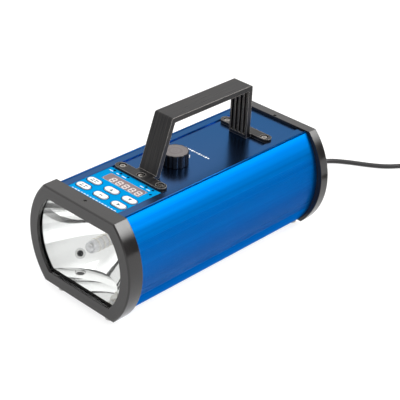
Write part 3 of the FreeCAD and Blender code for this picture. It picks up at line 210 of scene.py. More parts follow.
def vary_color(made, shader, factor, low, high, start=NOISE_LOW, end=NOISE_HIGH):
    """Lets the base colour run from low to high as factor runs from start to end."""
    tree = made.node_tree
    ramp = tree.nodes.new("ShaderNodeValToRGB")
    ramp.color_ramp.elements[0].position = start
    ramp.color_ramp.elements[0].color = (*low, 1.0)
    ramp.color_ramp.elements[1].position = end
    ramp.color_ramp.elements[1].color = (*high, 1.0)
    tree.links.new(factor, ramp.inputs["Fac"])
    tree.links.new(ramp.outputs["Color"], shader.inputs["Base Color"])


def vary_value(made, shader, socket, factor, low, high):
    """Lets a socket's value run from low to high with a noise factor."""
    tree = made.node_tree
    scaled = tree.nodes.new("ShaderNodeMapRange")
    scaled.inputs["From Min"].default_value = NOISE_LOW
    scaled.inputs["From Max"].default_value = NOISE_HIGH
    scaled.inputs["To Min"].default_value = low
    scaled.inputs["To Max"].default_value = high
    tree.links.new(factor, scaled.inputs["Value"])
    tree.links.new(scaled.outputs["Result"], shader.inputs[socket])


def add_bump(made, shader, height, strength, distance, edge=0.0):
    """Fine relief. edge is the radius by which sharp edges are broken in the shading."""
    tree = made.node_tree
    bump = tree.nodes.new("ShaderNodeBump")
    bump.inputs["Strength"].default_value = strength
    bump.inputs["Distance"].default_value = distance
    tree.links.new(height, bump.inputs["Height"])
    if edge:
        rounding = tree.nodes.new("ShaderNodeBevel")
        rounding.samples = EDGE_SAMPLES
        rounding.inputs["Radius"].default_value = edge
        tree.links.new(rounding.outputs["Normal"], bump.inputs["Normal"])
    tree.links.new(bump.outputs["Normal"], shader.inputs["Normal"])


def tint(color, by):
    """The colour made darker or lighter."""
    return [min(1.0, c * by) for c in color]


# ---------------------------------------------------------------- materials


def anodised_blue():
    """Extruded aluminium, dyed blue, with faint draw lines. Its top faces are smoother, and greyer in
    colour: a painted sheen.
    """
    side_rough, top_rough = 0.5, 0.24
    steep, level = 0.85, 0.98      # Z of a normal: below steep is a side, above level is a top face
    # The greyer blue of the faces that look up is a painted sheen, the white gloss of their clear coat.
    top_sheen_color = (0.072, 0.105, 0.205, 1.0)
    blue_edge = (0.15, 0.5, 0.9, 1.0)
    made, shader = new_material(
        "anodised_blue", (0.0, 0.12, 0.41), metallic=1.0, roughness=side_rough, Specular_Tint=blue_edge
    )
    tree = made.node_tree
    lines = object_noise(made, (1.0, 0.006, 1.0), 230.0, 5.0)
    vary_color(made, shader, lines, (0.0, 0.100, 0.352), (0.0, 0.142, 0.458))
    dyed = shader.inputs["Base Color"].links[0].from_socket
    surface = tree.nodes.new("ShaderNodeNewGeometry")
    normal = tree.nodes.new("ShaderNodeSeparateXYZ")
    tree.links.new(surface.outputs["True Normal"], normal.inputs[0])
    upward = tree.nodes.new("ShaderNodeMapRange")
    upward.inputs["From Min"].default_value = steep
    upward.inputs["From Max"].default_value = level
    tree.links.new(normal.outputs["Z"], upward.inputs["Value"])
    # Mixes the painted sheen into the colour of the faces that look up.
    painted_sheen = tree.nodes.new("ShaderNodeMix")
    painted_sheen.data_type = "RGBA"
    painted_sheen.inputs["B"].default_value = top_sheen_color
    tree.links.new(upward.outputs["Result"], painted_sheen.inputs["Factor"])
    tree.links.new(dyed, painted_sheen.inputs["A"])
    tree.links.new(painted_sheen.outputs["Result"], shader.inputs["Base Color"])
    smoother = tree.nodes.new("ShaderNodeMapRange")
    smoother.inputs["To Min"].default_value = side_rough
    smoother.inputs["To Max"].default_value = top_rough
    tree.links.new(upward.outputs["Result"], smoother.inputs["Value"])
    tree.links.new(smoother.outputs["Result"], shader.inputs["Roughness"])
    grain = object_noise(made, (1.0, 0.008, 1.0), 2600.0)
    add_bump(made, shader, grain, 0.07, 0.00004, edge=0.00015)
    return made


def moulded(name, color, roughness=0.42, grain=0.22, edge=0.0006):
    """Injection-moulded plastic with a fine spark-eroded grain."""
    made, shader = new_material(name, color, roughness=roughness)
    cloud = object_noise(made, EVEN, 60.0)
    vary_color(made, shader, cloud, tint(color, 0.88), tint(color, 1.14))
    vary_value(made, shader, "Roughness", cloud, roughness - 0.03, roughness + 0.06)
    add_bump(made, shader, object_noise(made, EVEN, 2300.0), grain, 0.00006, edge)
    return made


def brushed_black():
    """Black lacquer on a brushed strap: fine lines along the strap, and a paler colour along its edges
    that is a painted highlight.
    """
    made, shader = new_material(
        "handle_black", (0.016, 0.015, 0.015), roughness=0.30, Specular_IOR_Level=0.25
    )
    lines = object_noise(made, (1.0, 0.02, 0.02), 1500.0, 2.0)
    vary_color(made, shader, lines, (0.004, 0.004, 0.005), (0.032, 0.028, 0.026), 0.42, 0.80)
    # The paler colour along the strap's edges is a painted highlight.
    paint_edge_highlights(made, shader, 0.0009, (0.36, 0.34, 0.32))
    vary_value(made, shader, "Roughness", lines, 0.27, 0.42)
    add_bump(made, shader, lines, 0.25, 0.00005, edge=0.0006)
    return made


def paint_edge_highlights(made, shader, radius, highlight_color):
    """Paints a paler colour along sharp edges: a painted highlight where rounded edges catch the light.
    """
    flat, sharp = 0.97, 0.80      # how far the true normal and the rounded one agree
    tree = made.node_tree
    coat = shader.inputs["Base Color"].links[0].from_socket
    rounded = tree.nodes.new("ShaderNodeBevel")
    rounded.samples = EDGE_SAMPLES
    rounded.inputs["Radius"].default_value = radius
    surface = tree.nodes.new("ShaderNodeNewGeometry")
    agree = tree.nodes.new("ShaderNodeVectorMath")
    agree.operation = "DOT_PRODUCT"
    edge = tree.nodes.new("ShaderNodeMapRange")
    edge.inputs["From Min"].default_value = flat
    edge.inputs["From Max"].default_value = sharp
    mix = tree.nodes.new("ShaderNodeMix")
    mix.data_type = "RGBA"
    mix.inputs["B"].default_value = (*highlight_color, 1.0)
    tree.links.new(rounded.outputs["Normal"], agree.inputs[0])
    tree.links.new(surface.outputs["True Normal"], agree.inputs[1])
    tree.links.new(agree.outputs["Value"], edge.inputs["Value"])
    tree.links.new(edge.outputs["Result"], mix.inputs["Factor"])
    tree.links.new(coat, mix.inputs["A"])
    tree.links.new(mix.outputs["Result"], shader.inputs["Base Color"])


def turned_face(name, color, centre):
    """Flat cap with the fine circles of a lathe. centre is in the piece's own coordinates."""
    made, shader = new_material(name, color, roughness=0.3)
    tree = made.node_tree
    place = tree.nodes.new("ShaderNodeTexCoord")
    out = tree.nodes.new("ShaderNodeVectorMath")
    out.operation = "SUBTRACT"
    out.inputs[1].default_value = centre
    flat = tree.nodes.new("ShaderNodeVectorMath")
    flat.operation = "MULTIPLY"
    flat.inputs[1].default_value = (1.0, 1.0, 0.0)
    away = tree.nodes.new("ShaderNodeVectorMath")
    away.operation = "LENGTH"
    circles = tree.nodes.new("ShaderNodeTexNoise")
    circles.noise_dimensions = "1D"
    circles.inputs["Scale"].default_value = 2600.0
    tree.links.new(place.outputs["Object"], out.inputs[0])
    tree.links.new(out.outputs["Vector"], flat.inputs[0])
    tree.links.new(flat.outputs["Vector"], away.inputs[0])
    tree.links.new(away.outputs["Value"], circles.inputs["W"])
    factor = circles.outputs["Fac"]
    vary_color(made, shader, factor, tint(color, 0.75), tint(color, 1.25))
    vary_value(made, shader, "Roughness", factor, 0.24, 0.38)
    add_bump(made, shader, factor, 0.3, 0.00005, edge=0.0004)
    return made


def lens_in_ring(name, centre, radius):
    """A black lens in a bright ring. centre is in the piece's own coordinates."""
    made, shader = new_material(name, (0.7, 0.7, 0.7), metallic=1.0, roughness=0.25)
    tree = made.node_tree
    place = tree.nodes.new("ShaderNodeTexCoord")
    away = tree.nodes.new("ShaderNodeVectorMath")
    away.operation = "DISTANCE"
    away.inputs[1].default_value = centre
    ring = tree.nodes.new("ShaderNodeMapRange")
    ring.inputs["From Min"].default_value = radius
    ring.inputs["From Max"].default_value = radius + 0.2 * MM
    tree.links.new(place.outputs["Object"], away.inputs[0])
    tree.links.new(away.outputs["Value"], ring.inputs["Value"])
    vary_color(made, shader, ring.outputs["Result"], (0.001, 0.001, 0.003), (0.75, 0.75, 0.74))
    return made


def soft_rubber(name, color, roughness=0.55):
    """Matt rubber or fabric with a fine grain."""
    made, shader = new_material(name, color, roughness=roughness)
    cloud = object_noise(made, EVEN, 90.0)
    vary_color(made, shader, cloud, tint(color, 0.8), tint(color, 1.25))
    add_bump(made, shader, object_noise(made, EVEN, 1500.0), 0.15, 0.00005)
    return made


def metal(name, color, roughness=0.28, stretch=(1.0, 1.0, 0.3)):
    """Bare or plated metal with fine scratches, drawn out where stretch is small."""
    made, shader = new_material(name, color, metallic=1.0, roughness=roughness)
    scratches = object_noise(made, stretch, 1400.0)
    vary_color(made, shader, scratches, tint(color, 0.85), tint(color, 1.1))
    vary_value(made, shader, "Roughness", scratches, roughness - 0.06, roughness + 0.1)
    return made


def mirror_coat():
    """Vacuum-coated reflector: bright, with a very slight ripple."""
    made, shader = new_material("mirror_coat", (0.97, 0.97, 0.965), metallic=0.95, roughness=0.04)
    vary_value(made, shader, "Roughness", object_noise(made, EVEN, 70.0), 0.02, 0.07)
    add_bump(made, shader, object_noise(made, EVEN, 32.0, 1.0), 0.25, 0.00012)
    return made


def clear_glass(name, color, gleam, haze=0.0):
    """Clear, with some haze and a gloss that rises from gleam, straight on, to full at grazing angles."""
    made = bpy.data.materials.new(name)
    made.use_nodes = True
    tree = made.node_tree
    tree.nodes.remove(tree.nodes["Principled BSDF"])
    out = tree.nodes["Material Output"]
    through = tree.nodes.new("ShaderNodeBsdfTransparent")
    through.inputs["Color"].default_value = (*color, 1.0)
    shine = tree.nodes.new("ShaderNodeBsdfGlossy")
    shine.inputs["Roughness"].default_value = 0.02
    facing = tree.nodes.new("ShaderNodeLayerWeight")
    facing.inputs["Blend"].default_value = 0.5
    power = tree.nodes.new("ShaderNodeMath")
    power.operation = "POWER"
    power.inputs[1].default_value = 5.0
    edge = tree.nodes.new("ShaderNodeMath")
    edge.operation = "MULTIPLY_ADD"
    edge.inputs[1].default_value = 0.96
    edge.inputs[2].default_value = gleam
    tree.links.new(facing.outputs["Facing"], power.inputs[0])
    tree.links.new(power.outputs[0], edge.inputs[0])
    mix = tree.nodes.new("ShaderNodeMixShader")
    body = through.outputs[0]
    if haze:
        frost = tree.nodes.new("ShaderNodeBsdfTranslucent")
        frost.inputs["Color"].default_value = (0.95, 0.97, 1.0, 1.0)
        frosted = tree.nodes.new("ShaderNodeMixShader")
        frosted.inputs["Fac"].default_value = haze
        tree.links.new(through.outputs[0], frosted.inputs[1])
        tree.links.new(frost.outputs[0], frosted.inputs[2])
        body = frosted.outputs[0]
    tree.links.new(edge.outputs[0], mix.inputs["Fac"])
    tree.links.new(body, mix.inputs[1])
    tree.links.new(shine.outputs[0], mix.inputs[2])
    tree.links.new(mix.outputs[0], out.inputs["Surface"])
    return made


def printed_film(name, color, roughness=0.34, gloss=0.2):
    """Printed polyester film with a fine texture."""
    made, shader = new_material(name, color, roughness=roughness, Specular_IOR_Level=gloss)
    cloud = object_noise(made, EVEN, 35.0)
    vary_color(made, shader, cloud, tint(color, 0.95), tint(color, 1.05))
    add_bump(made, shader, object_noise(made, EVEN, 3000.0), 0.10, 0.00003)
    return made


def circuit_board(name):
    """Solder-masked board with copper tracks showing through the mask."""
    made, shader = new_material(name, (0.01, 0.10, 0.035), roughness=0.32)
    tracks = object_cells(made, 330.0)
    vary_color(made, shader, tracks, (0.03, 0.20, 0.07), (0.006, 0.085, 0.03), 0.28, 0.34)
    add_bump(made, shader, tracks, 0.4, 0.00006)
    return made


def ceramic():
    """Slightly cloudy white ceramic."""
    made, shader = new_material("white_ceramic", (0.82, 0.81, 0.77), roughness=0.4)
    cloud = object_noise(made, EVEN, 140.0)
    vary_color(made, shader, cloud, (0.76, 0.75, 0.70), (0.86, 0.85, 0.82))
    return made


def capacitor_sleeve():
    """Dark blue shrink sleeve, with no print on it."""
    made, shader = new_material("capacitor_sleeve", (0.02, 0.03, 0.06), roughness=0.3)
    cloud = object_noise(made, EVEN, 50.0)
    vary_color(made, shader, cloud, (0.015, 0.022, 0.05), (0.03, 0.04, 0.075))
    return made


# ---------------------------------------------------------------- putting materials on the CAD nodes


def dress(made, *nodes):
    """Gives CAD nodes a material."""
    for node in nodes:
        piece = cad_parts[node]
        piece.data.materials.clear()
        piece.data.materials.append(made)


KEYS = ["key_%d" % number for number in range(1, 7)]


def dress_nodes():
    """Gives every CAD node that stays visible its material."""
    black = moulded("moulded_black", (0.012, 0.011, 0.011), roughness=0.15, grain=0.10)
    bright = metal("plated_steel", (0.60, 0.59, 0.57))
    cap_grey = turned_face("knob_cap_grey", (0.125, 0.108, 0.108), middle("knob_cap"))
    dress(anodised_blue(), "housing")
    dress(black, "front_bezel", "rear_ring", "switch_frame", "power_rocker")
    dress(brushed_black(), "handle")
    dress(moulded("knob_black", (0.008, 0.008, 0.010), roughness=0.16, grain=0.05), "knob")
    dress(cap_grey, "knob_cap")
    dress(moulded("panel_black", (0.035, 0.035, 0.037), roughness=0.5, edge=0.0002), "rear_panel")
    dress(moulded("part_black", (0.03, 0.03, 0.032)), "encoder", "power_transformer", "trigger_coil",
          "display_module")
    dress(moulded("foot_grey", (0.42, 0.42, 0.41), roughness=0.6), "front_feet", "rear_feet")
    dress(mirror_coat(), "reflector")
    dress(clear_glass("window_glass", (0.985, 0.99, 0.99), gleam=0.008), "front_glass")
    dress(clear_glass("tube_glass", (0.99, 0.99, 1.0), gleam=0.3, haze=0.18), "flash_tube")
    dress(printed_film("panel_blue", (0.001, 0.205, 0.47), 0.5, 0.0), "membrane_panel")
    dress(printed_film("key_white", (0.64, 0.65, 0.66)), *KEYS)
    dress(printed_film("index_white", (0.88, 0.88, 0.88)), "knob_index")
    dress(printed_film("display_grey", (0.17, 0.125, 0.13), 0.3, 0.1), "display_window")
    # The gasket is black rubber, made darker than rubber and glossless to stand in for the shade inside
    # the bezel's lip: partly painted shade.
    dress(printed_film("seal_rubber_and_shade", (0.001, 0.001, 0.001), 0.6, 0.0), "glass_gasket")
    dress(lens_in_ring("sensor_lens", middle("sensor_bush"), 3.3 * MM), "sensor_bush")
    dress(printed_film("lamp_lens", (0.002, 0.006, 0.03), 0.3, 0.08), "indicator_lamps")
    dress(ceramic(), "tube_base", "lamp_socket")
    dress(bright, "bezel_screw", "ring_screw", "panel_screws", "handle_nuts", "board_posts",
          "encoder_nut", "encoder_shaft", "jack_nut", "plug_pins", "socket_bracket")
    dress(metal("screw_steel", (0.34, 0.32, 0.30), 0.2), "handle_screws_front", "handle_screws_rear")
    dress(metal("electrode_metal", (0.66, 0.62, 0.55), 0.2), "tube_electrodes")
    dress(metal("trigger_wire_metal", (0.70, 0.66, 0.58), 0.25), "trigger_wire")
    dress(metal("jack_metal", (0.5, 0.5, 0.48), 0.25), "trigger_jack")
    dress(metal("sink_aluminium", (0.55, 0.55, 0.55), 0.4, (1.0, 0.02, 1.0)), "heat_sink")
    dress(circuit_board("board_green"), "control_board", "power_board")
    dress(moulded("key_switch_black", (0.03, 0.03, 0.03), grain=0.1), "key_switches")
    dress(capacitor_sleeve(), "flash_capacitors")


# ---------------------------------------------------------------- mesh helpers


def finish_piece(name, bm, made, body, smooth=False):
    """Turns a bmesh into a piece with its material and body."""
    mesh = bpy.data.meshes.new(name)
    bmesh.ops.recalc_face_normals(bm, faces=bm.faces)
    for face in bm.faces:
        face.smooth = smooth
    bm.to_mesh(mesh)
    bm.free()
    mesh.materials.append(made)
    piece = bpy.data.objects.new(name, mesh)
    bpy.context.scene.collection.objects.link(piece)
    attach(piece, body)
    return piece


def prism(bm, outline, low, high):
    """Closed prism over a flat outline, a list of (x, y)."""
    bottom = [bm.verts.new((x, y, low)) for x, y in outline]
    top = [bm.verts.new((x, y, high)) for x, y in outline]
    bm.faces.new(list(reversed(bottom)))
    bm.faces.new(top)
    for n in range(len(outline)):
        m = (n + 1) % len(outline)
        bm.faces.new((bottom[n], bottom[m], top[m], top[n]))


def join_loops(bm, loops):
    """Faces from each closed loop of vertices to the next one, and from the last to the first."""
    for k, here in enumerate(loops):
        there = loops[(k + 1) % len(loops)]
        for n in range(len(here)):
            m = (n + 1) % len(here)
            bm.faces.new((here[n], here[m], there[m], there[n]))


def ring_prism(bm, outer, inner, low, high):
    """Closed flat ring between two outlines with as many points each."""
    sides = ((outer, low), (outer, high), (inner, high), (inner, low))
    join_loops(bm, [[bm.verts.new((x, y, z)) for x, y in outline] for outline, z in sides])


def lathe(bm, profile, steps, place):
    """Turns a closed profile, a list of (along, radius), round the Z axis of place, a 4x4 matrix."""
    rings = []
    for n in range(steps):
        angle = 2 * math.pi * n / steps
        across, up = math.cos(angle), math.sin(angle)
        rings.append([bm.verts.new(place @ Vector((r * across, r * up, a))) for a, r in profile])
    join_loops(bm, rings)


def bar(x, y, long, wide):
    """Outline of a bar with its corners taken off, centred on (x, y)."""
    half, high = long / 2, wide / 2
    nip = min(half, high) * 0.45
    return [
        (x - half + nip, y - high), (x + half - nip, y - high), (x + half, y - high + nip),
        (x + half, y + high - nip), (x + half - nip, y + high), (x - half + nip, y + high),
        (x - half, y + high - nip), (x - half, y - high + nip),
    ]


def stadium(x, y, long, wide):
    """Outline with round ends, along x."""
    steps = 10
    radius = wide / 2
    reach = long / 2 - radius
    points = []
    for side in (1, -1):
        for n in range(steps + 1):
            angle = math.radians(-90 + 180 * n / steps) + (0 if side > 0 else math.pi)
            points.append((x + side * reach + radius * math.cos(angle), y + radius * math.sin(angle)))
    return points


def circle(x, y, radius):
    """Outline of a circle."""
    steps = 40
    turns = [2 * math.pi * n / steps for n in range(steps)]
    return [(x + radius * math.cos(turn), y + radius * math.sin(turn)) for turn in turns]


def spread(count, pitch):
    """Places a pitch apart in a row, with the middle of the row at zero."""
    return [(n - (count - 1) / 2) * pitch for n in range(count)]


def middle(node):
    """The middle of a CAD node's box."""
    low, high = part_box(node)
    return (low + high) / 2


TO_REAR = Matrix.Rotation(math.radians(-90), 4, "X")      # turns +Z to +Y
UPRIGHT = Matrix.Rotation(math.radians(90), 4, "X")       # turns +Y to +Z


# ---------------------------------------------------------------- print on the membrane and the case

INK = 0.05 * MM      # how far print stands on the film


def ink(bm, outline, level):
    """Prints an outline on the flat surface at the height level."""
    prism(bm, outline, level - INK, level + INK)


def ink_ring(bm, outer, inner, level):
    """Prints the ring between two outlines on the flat surface at the height level."""
    ring_prism(bm, outer, inner, level - INK, level + INK)


def key_ring(bm, key, outside, inside, level):
    """Prints a ring round a key. outside and inside are added to the key's own length and width."""
    low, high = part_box(key)
    centre = middle(key)
    outer, inner = [
        stadium(centre.x, centre.y, high.x - low.x + more, high.y - low.y + more)
        for more in (outside, inside)
    ]
    ink_ring(bm, outer, inner, level)


def panel_top():
    """Height of the membrane's upper face."""
    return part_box("membrane_panel")[1].z


def make_key_outlines():
    """Dark printed outline round each key."""
    made = printed_film("outline_blue", (0.001, 0.02, 0.08), 0.5, 0.0)
    bm = bmesh.new()
    for key in KEYS:
        key_ring(bm, key, 1.5 * MM, 0.1 * MM, panel_top())
    finish_piece("key_outlines", bm, made, "case")


MARK_HALF = 1.8 * MM      # half the size of a sign or an arrow
MARK_LINE = 1.2 * MM


def key_mark(number, x, y):
    """A plain symbol for each key: rows of bars on the left pair, a sign or an arrow on the others."""
    half = MARK_HALF
    if number in (1, 4):
        aside, rise = 2.2 * MM, 1.2 * MM
        return [
            bar(x + side * aside, y + row * rise, (3.0 + 0.8 * side * row) * MM, MARK_LINE)
            for row in (-1, 1)
            for side in (-1, 1)
        ]
    if number == 2:
        return [bar(x, y, 2 * half, MARK_LINE)]
    if number == 3:
        return [[(x - half, y - half), (x + half, y), (x - half, y + half)]]
    if number == 5:
        return [[(x - half, y - half), (x + half, y - half), (x, y + half)]]
    return [[(x - half, y + half), (x, y - half), (x + half, y + half)]]


def make_key_marks():
    """The printed symbol of each key and the dark line round its top."""
    grey = printed_film("mark_grey", (0.03, 0.07, 0.09))
    for number, key in enumerate(KEYS, start=1):
        centre = middle(key)
        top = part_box(key)[1].z
        bm = bmesh.new()
        for outline in key_mark(number, centre.x, centre.y):
            ink(bm, outline, top)
        key_ring(bm, key, -0.1 * MM, -1.0 * MM, top)
        finish_piece("key_mark_%d" % number, bm, grey, key)


PANEL_DASHES = 15
# The bars beside the lamps: the place across of each one's middle and its length, in millimetres.
LAMP_BARS = [(-27.0, 4.4), (-18.5, 3.4), (-10.4, 5.2), (12.6, 4.6), (20.6, 4.4)]


def make_panel_print():
    """White rule and dashes along the front edge, and a short bar beside each lamp."""
    made = printed_film("print_white", (0.66, 0.74, 0.80))
    low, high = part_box("membrane_panel")
    wide = high.x - low.x
    rule_row, dash_row, lamp_row = low.y + 0.9 * MM, low.y + 2.5 * MM, high.y - 4.9 * MM
    rule_line, dash_line = 0.5 * MM, 0.9 * MM
    bm = bmesh.new()
    ink(bm, bar(0.0, rule_row, wide - 1.6 * MM, rule_line), panel_top())
    pitch = (wide - 6 * MM) / PANEL_DASHES
    for n, x in enumerate(spread(PANEL_DASHES, pitch)):
        long = pitch * (0.72 if n % 3 else 0.5)
        ink(bm, bar(x, dash_row, long, dash_line), panel_top())
    for x, long in LAMP_BARS:
        ink(bm, bar(x * MM, lamp_row, long * MM, dash_line), panel_top())
    finish_piece("panel_print", bm, made, "case")


# The middles of the indicator lamps, in millimetres.
LAMP_PLACES = [(-25.0, -65.7), (-16.6, -65.7), (-7.4, -65.7), (15.7, -65.7), (24.0, -65.7),
               (27.6, -72.15)]
LAMP_LONG, LAMP_WIDE = 2.6 * MM, 2.3 * MM


def make_lamp_rims():
    """Dark printed window over each indicator lamp."""
    navy = printed_film("lamp_navy", (0.001, 0.003, 0.02), 0.4, 0.0)
    bm = bmesh.new()
    for x, y in LAMP_PLACES:
        ink(bm, stadium(x * MM, y * MM, LAMP_LONG, LAMP_WIDE), panel_top())
    finish_piece("lamp_rims", bm, navy, "case")


# Segments of a digit: place across and along in halves of its size, and whether it lies across.
SEGMENTS = [(0, 1, True), (0, 0, True), (0, -1, True),
            (-1, 0.5, False), (1, 0.5, False), (-1, -0.5, False), (1, -0.5, False)]
DIGITS = 5
DIGIT_PITCH = 8.0 * MM
DIGIT_WIDE, DIGIT_TALL, DIGIT_LINE = 5.4 * MM, 7.4 * MM, 0.95 * MM
DIGITS_ASIDE, DIGITS_BELOW = 3.0 * MM, 1.4 * MM      # from the middle of the window to that of the row


def digit_outlines(x, y):
    """The seven bars of a digit centred on (x, y), with a gap at each of their ends."""
    gap = 0.3 * DIGIT_LINE
    outlines = []
    for across, along, flat in SEGMENTS:
        place = (x + across * (DIGIT_WIDE - DIGIT_LINE) / 2, y + along * (DIGIT_TALL - DIGIT_LINE) / 2)
        if flat:
            outlines.append(bar(*place, DIGIT_WIDE - DIGIT_LINE - 2 * gap, DIGIT_LINE))
        else:
            outlines.append(bar(*place, DIGIT_LINE, (DIGIT_TALL - DIGIT_LINE) / 2 - 2 * gap))
    return outlines


def make_display():
    """Seven-segment digits behind the grey window, and the dark edge of the window."""
    pale = printed_film("segment_pale", (0.62, 0.56, 0.53), 0.25)
    rim = printed_film("window_rim", (0.30, 0.30, 0.36), 0.3)
    low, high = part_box("display_window")
    centre = middle("display_window")
    bm = bmesh.new()
    for x in spread(DIGITS, DIGIT_PITCH):
        for outline in digit_outlines(centre.x + x + DIGITS_ASIDE, centre.y - DIGITS_BELOW):
            ink(bm, outline, high.z)
    finish_piece("display_digits", bm, pale, "case")
    bm = bmesh.new()
    wide, deep = high.x - low.x, high.y - low.y
    edge = 0.5 * MM
    outer = bar(centre.x, centre.y, wide + edge, deep + edge)
    inner = bar(centre.x, centre.y, wide - edge, deep - edge)
    ink_ring(bm, outer, inner, high.z)
    finish_piece("display_rim", bm, rim, "case")


CASE_STROKES = 11
STROKE_PITCH = 2.9 * MM
STROKE_WIDE = 1.9 * MM
STROKE_TALL, STROKE_SHORT = 2.4 * MM, 1.6 * MM
STROKES_BEHIND_KNOB = 28.7 * MM


def make_case_print():
    """A generic row of white strokes on the top of the case, behind the knob."""
    made = printed_film("case_print_white", (0.80, 0.82, 0.85))
    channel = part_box("membrane_panel")[0].z
    row = middle("knob").y + STROKES_BEHIND_KNOB
    bm = bmesh.new()
    for n, x in enumerate(spread(CASE_STROKES, STROKE_PITCH)):
        tall = STROKE_SHORT if n % 3 else STROKE_TALL
        ink(bm, bar(x, row, STROKE_WIDE, tall), channel)
    finish_piece("case_print", bm, made, "case")


BEAD_X = 40.3 * MM      # from the middle of the case to each edge of the channel
BEAD_RADIUS = 0.6 * MM
BEAD_BORE = 0.01 * MM


def make_rim_beads():
    """The thin round bead along each edge of the channel in the top of the case."""
    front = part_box("front_bezel")[1].y
    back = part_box("rear_ring")[0].y
    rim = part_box("housing")[1].z
    profile = [(front, BEAD_BORE), (front, BEAD_RADIUS), (back, BEAD_RADIUS), (back, BEAD_BORE)]
    bm = bmesh.new()
    for side in (-1, 1):
        lathe(bm, profile, 16, Matrix.Translation((side * BEAD_X, 0, rim)) @ TO_REAR)
    finish_piece("rim_beads", bm, anodised_blue(), "case", smooth=True)


JACK_RING_OUTER, JACK_RING_INNER = 7.2 * MM, 6.6 * MM
SWITCH_BAR_LONG, SWITCH_BAR_WIDE = 9.0 * MM, 0.7 * MM
SWITCH_BAR_AWAY = 2.6 * MM      # from the switch's frame


def make_rear_print():
    """A plain ring round the trigger socket, and a bar above and below the rocker."""
    made = printed_film("rear_print_white", (0.70, 0.71, 0.72))
    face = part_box("rear_panel")[1].y
    jack = middle("trigger_jack")
    low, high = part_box("switch_frame")
    bm = bmesh.new()
    rings = [circle(jack.x, jack.z, radius) for radius in (JACK_RING_OUTER, JACK_RING_INNER)]
    ink_ring(bm, *rings, 0.0)
    for z in (low.z - SWITCH_BAR_AWAY, high.z + SWITCH_BAR_AWAY):
        ink(bm, bar((low.x + high.x) / 2, z, SWITCH_BAR_LONG, SWITCH_BAR_WIDE), 0.0)
    bmesh.ops.transform(bm, matrix=Matrix.Translation((0, face, 0)) @ UPRIGHT, verts=bm.verts)
    finish_piece("rear_print", bm, made, "case")


# ---------------------------------------------------------------- cord, strain relief and coil

CORD_RADIUS = 2.5 * MM

# The lead's way from the rear panel to the coil, and the coil itself, in millimetres.
ROUTE = [
    (-30, 157.9, 38), (-30, 173.9, 37), (-29.5, 194, 28.6), (-28, 213, 14.4), (-25.5, 232, 4.4),
    (-20, 248.5, 2.6), (-5, 260.5, 2.6), (17, 273.8, 2.6), (31, 285.2, 2.6), (42, 301, 2.6),
    (56.5, 317.5, 2.6), (70.5, 332, 2.6),
]
COIL_MIDDLE = (99.9, 303.9)
COIL_OUTER = 40.6
COIL_INNER = 19.8
COIL_START = 136.3       # degrees
LAYER_TURNS = 4
CLIMB_TURN = 0.337
TURN_POINTS = 16
LAYER_LOW, LAYER_HIGH = 2.6, 7.7
TAIL_LONG = 26.0


def coil_points():
    """Four turns inwards on the floor, a climb, and four turns outwards on top of them."""
    total = 2 * LAYER_TURNS + CLIMB_TURN
    steps = round(total * TURN_POINTS)
    points = []
    for n in range(1, steps + 1):
        turn = total * n / steps
        inward = min(turn, LAYER_TURNS) / LAYER_TURNS
        outward = max(0.0, turn - LAYER_TURNS - CLIMB_TURN) / LAYER_TURNS
        climbed = min(1.0, max(0.0, (turn - LAYER_TURNS) / CLIMB_TURN))
        radius = COIL_OUTER - (COIL_OUTER - COIL_INNER) * (inward - outward)
        angle = math.radians(COIL_START - 360 * turn)
        x = COIL_MIDDLE[0] + radius * math.cos(angle)
        y = COIL_MIDDLE[1] + radius * math.sin(angle)
        points.append((x, y, LAYER_LOW + (LAYER_HIGH - LAYER_LOW) * climbed))
    return points


def tail_points(last):
    """Straight from the coil into the plug."""
    angle = math.radians(COIL_START - 360 * CLIMB_TURN)
    ahead = Vector((math.sin(angle), -math.cos(angle), 0))
    return [tuple(Vector(last) + ahead * TAIL_LONG * share) for share in (0.5, 1.0)]


def make_cord():
    """The lead as one smooth curve, from the rear panel through the coil into the plug."""
    coil = coil_points()
    points = [Vector(p) * MM for p in ROUTE + coil + tail_points(coil[-1])]
    data = bpy.data.curves.new("power_lead", "CURVE")
    data.dimensions = "3D"
    data.bevel_depth = CORD_RADIUS
    data.bevel_resolution = 5
    data.resolution_u = 8
    data.use_fill_caps = True
    spline = data.splines.new("NURBS")
    spline.points.add(len(points) - 1)
    for point, place in zip(spline.points, points):
        point.co = (*place, 1.0)
    spline.order_u = 3
    spline.use_endpoint_u = True
    data.materials.append(soft_rubber("lead_black", (0.014, 0.013, 0.014), 0.45))
    cord = bpy.data.objects.new("power_lead", data)
    bpy.context.scene.collection.objects.link(cord)
    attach(cord, "case")
    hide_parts("power_cord", "cord_coil", "cord_tail")
    return cord


RELIEF_ROOT, RELIEF_TIP = 4.6 * MM, 3.4 * MM      # radius at each end of the ribbed part
RELIEF_RIBS = 7
COLLAR_LONG = 2.4 * MM


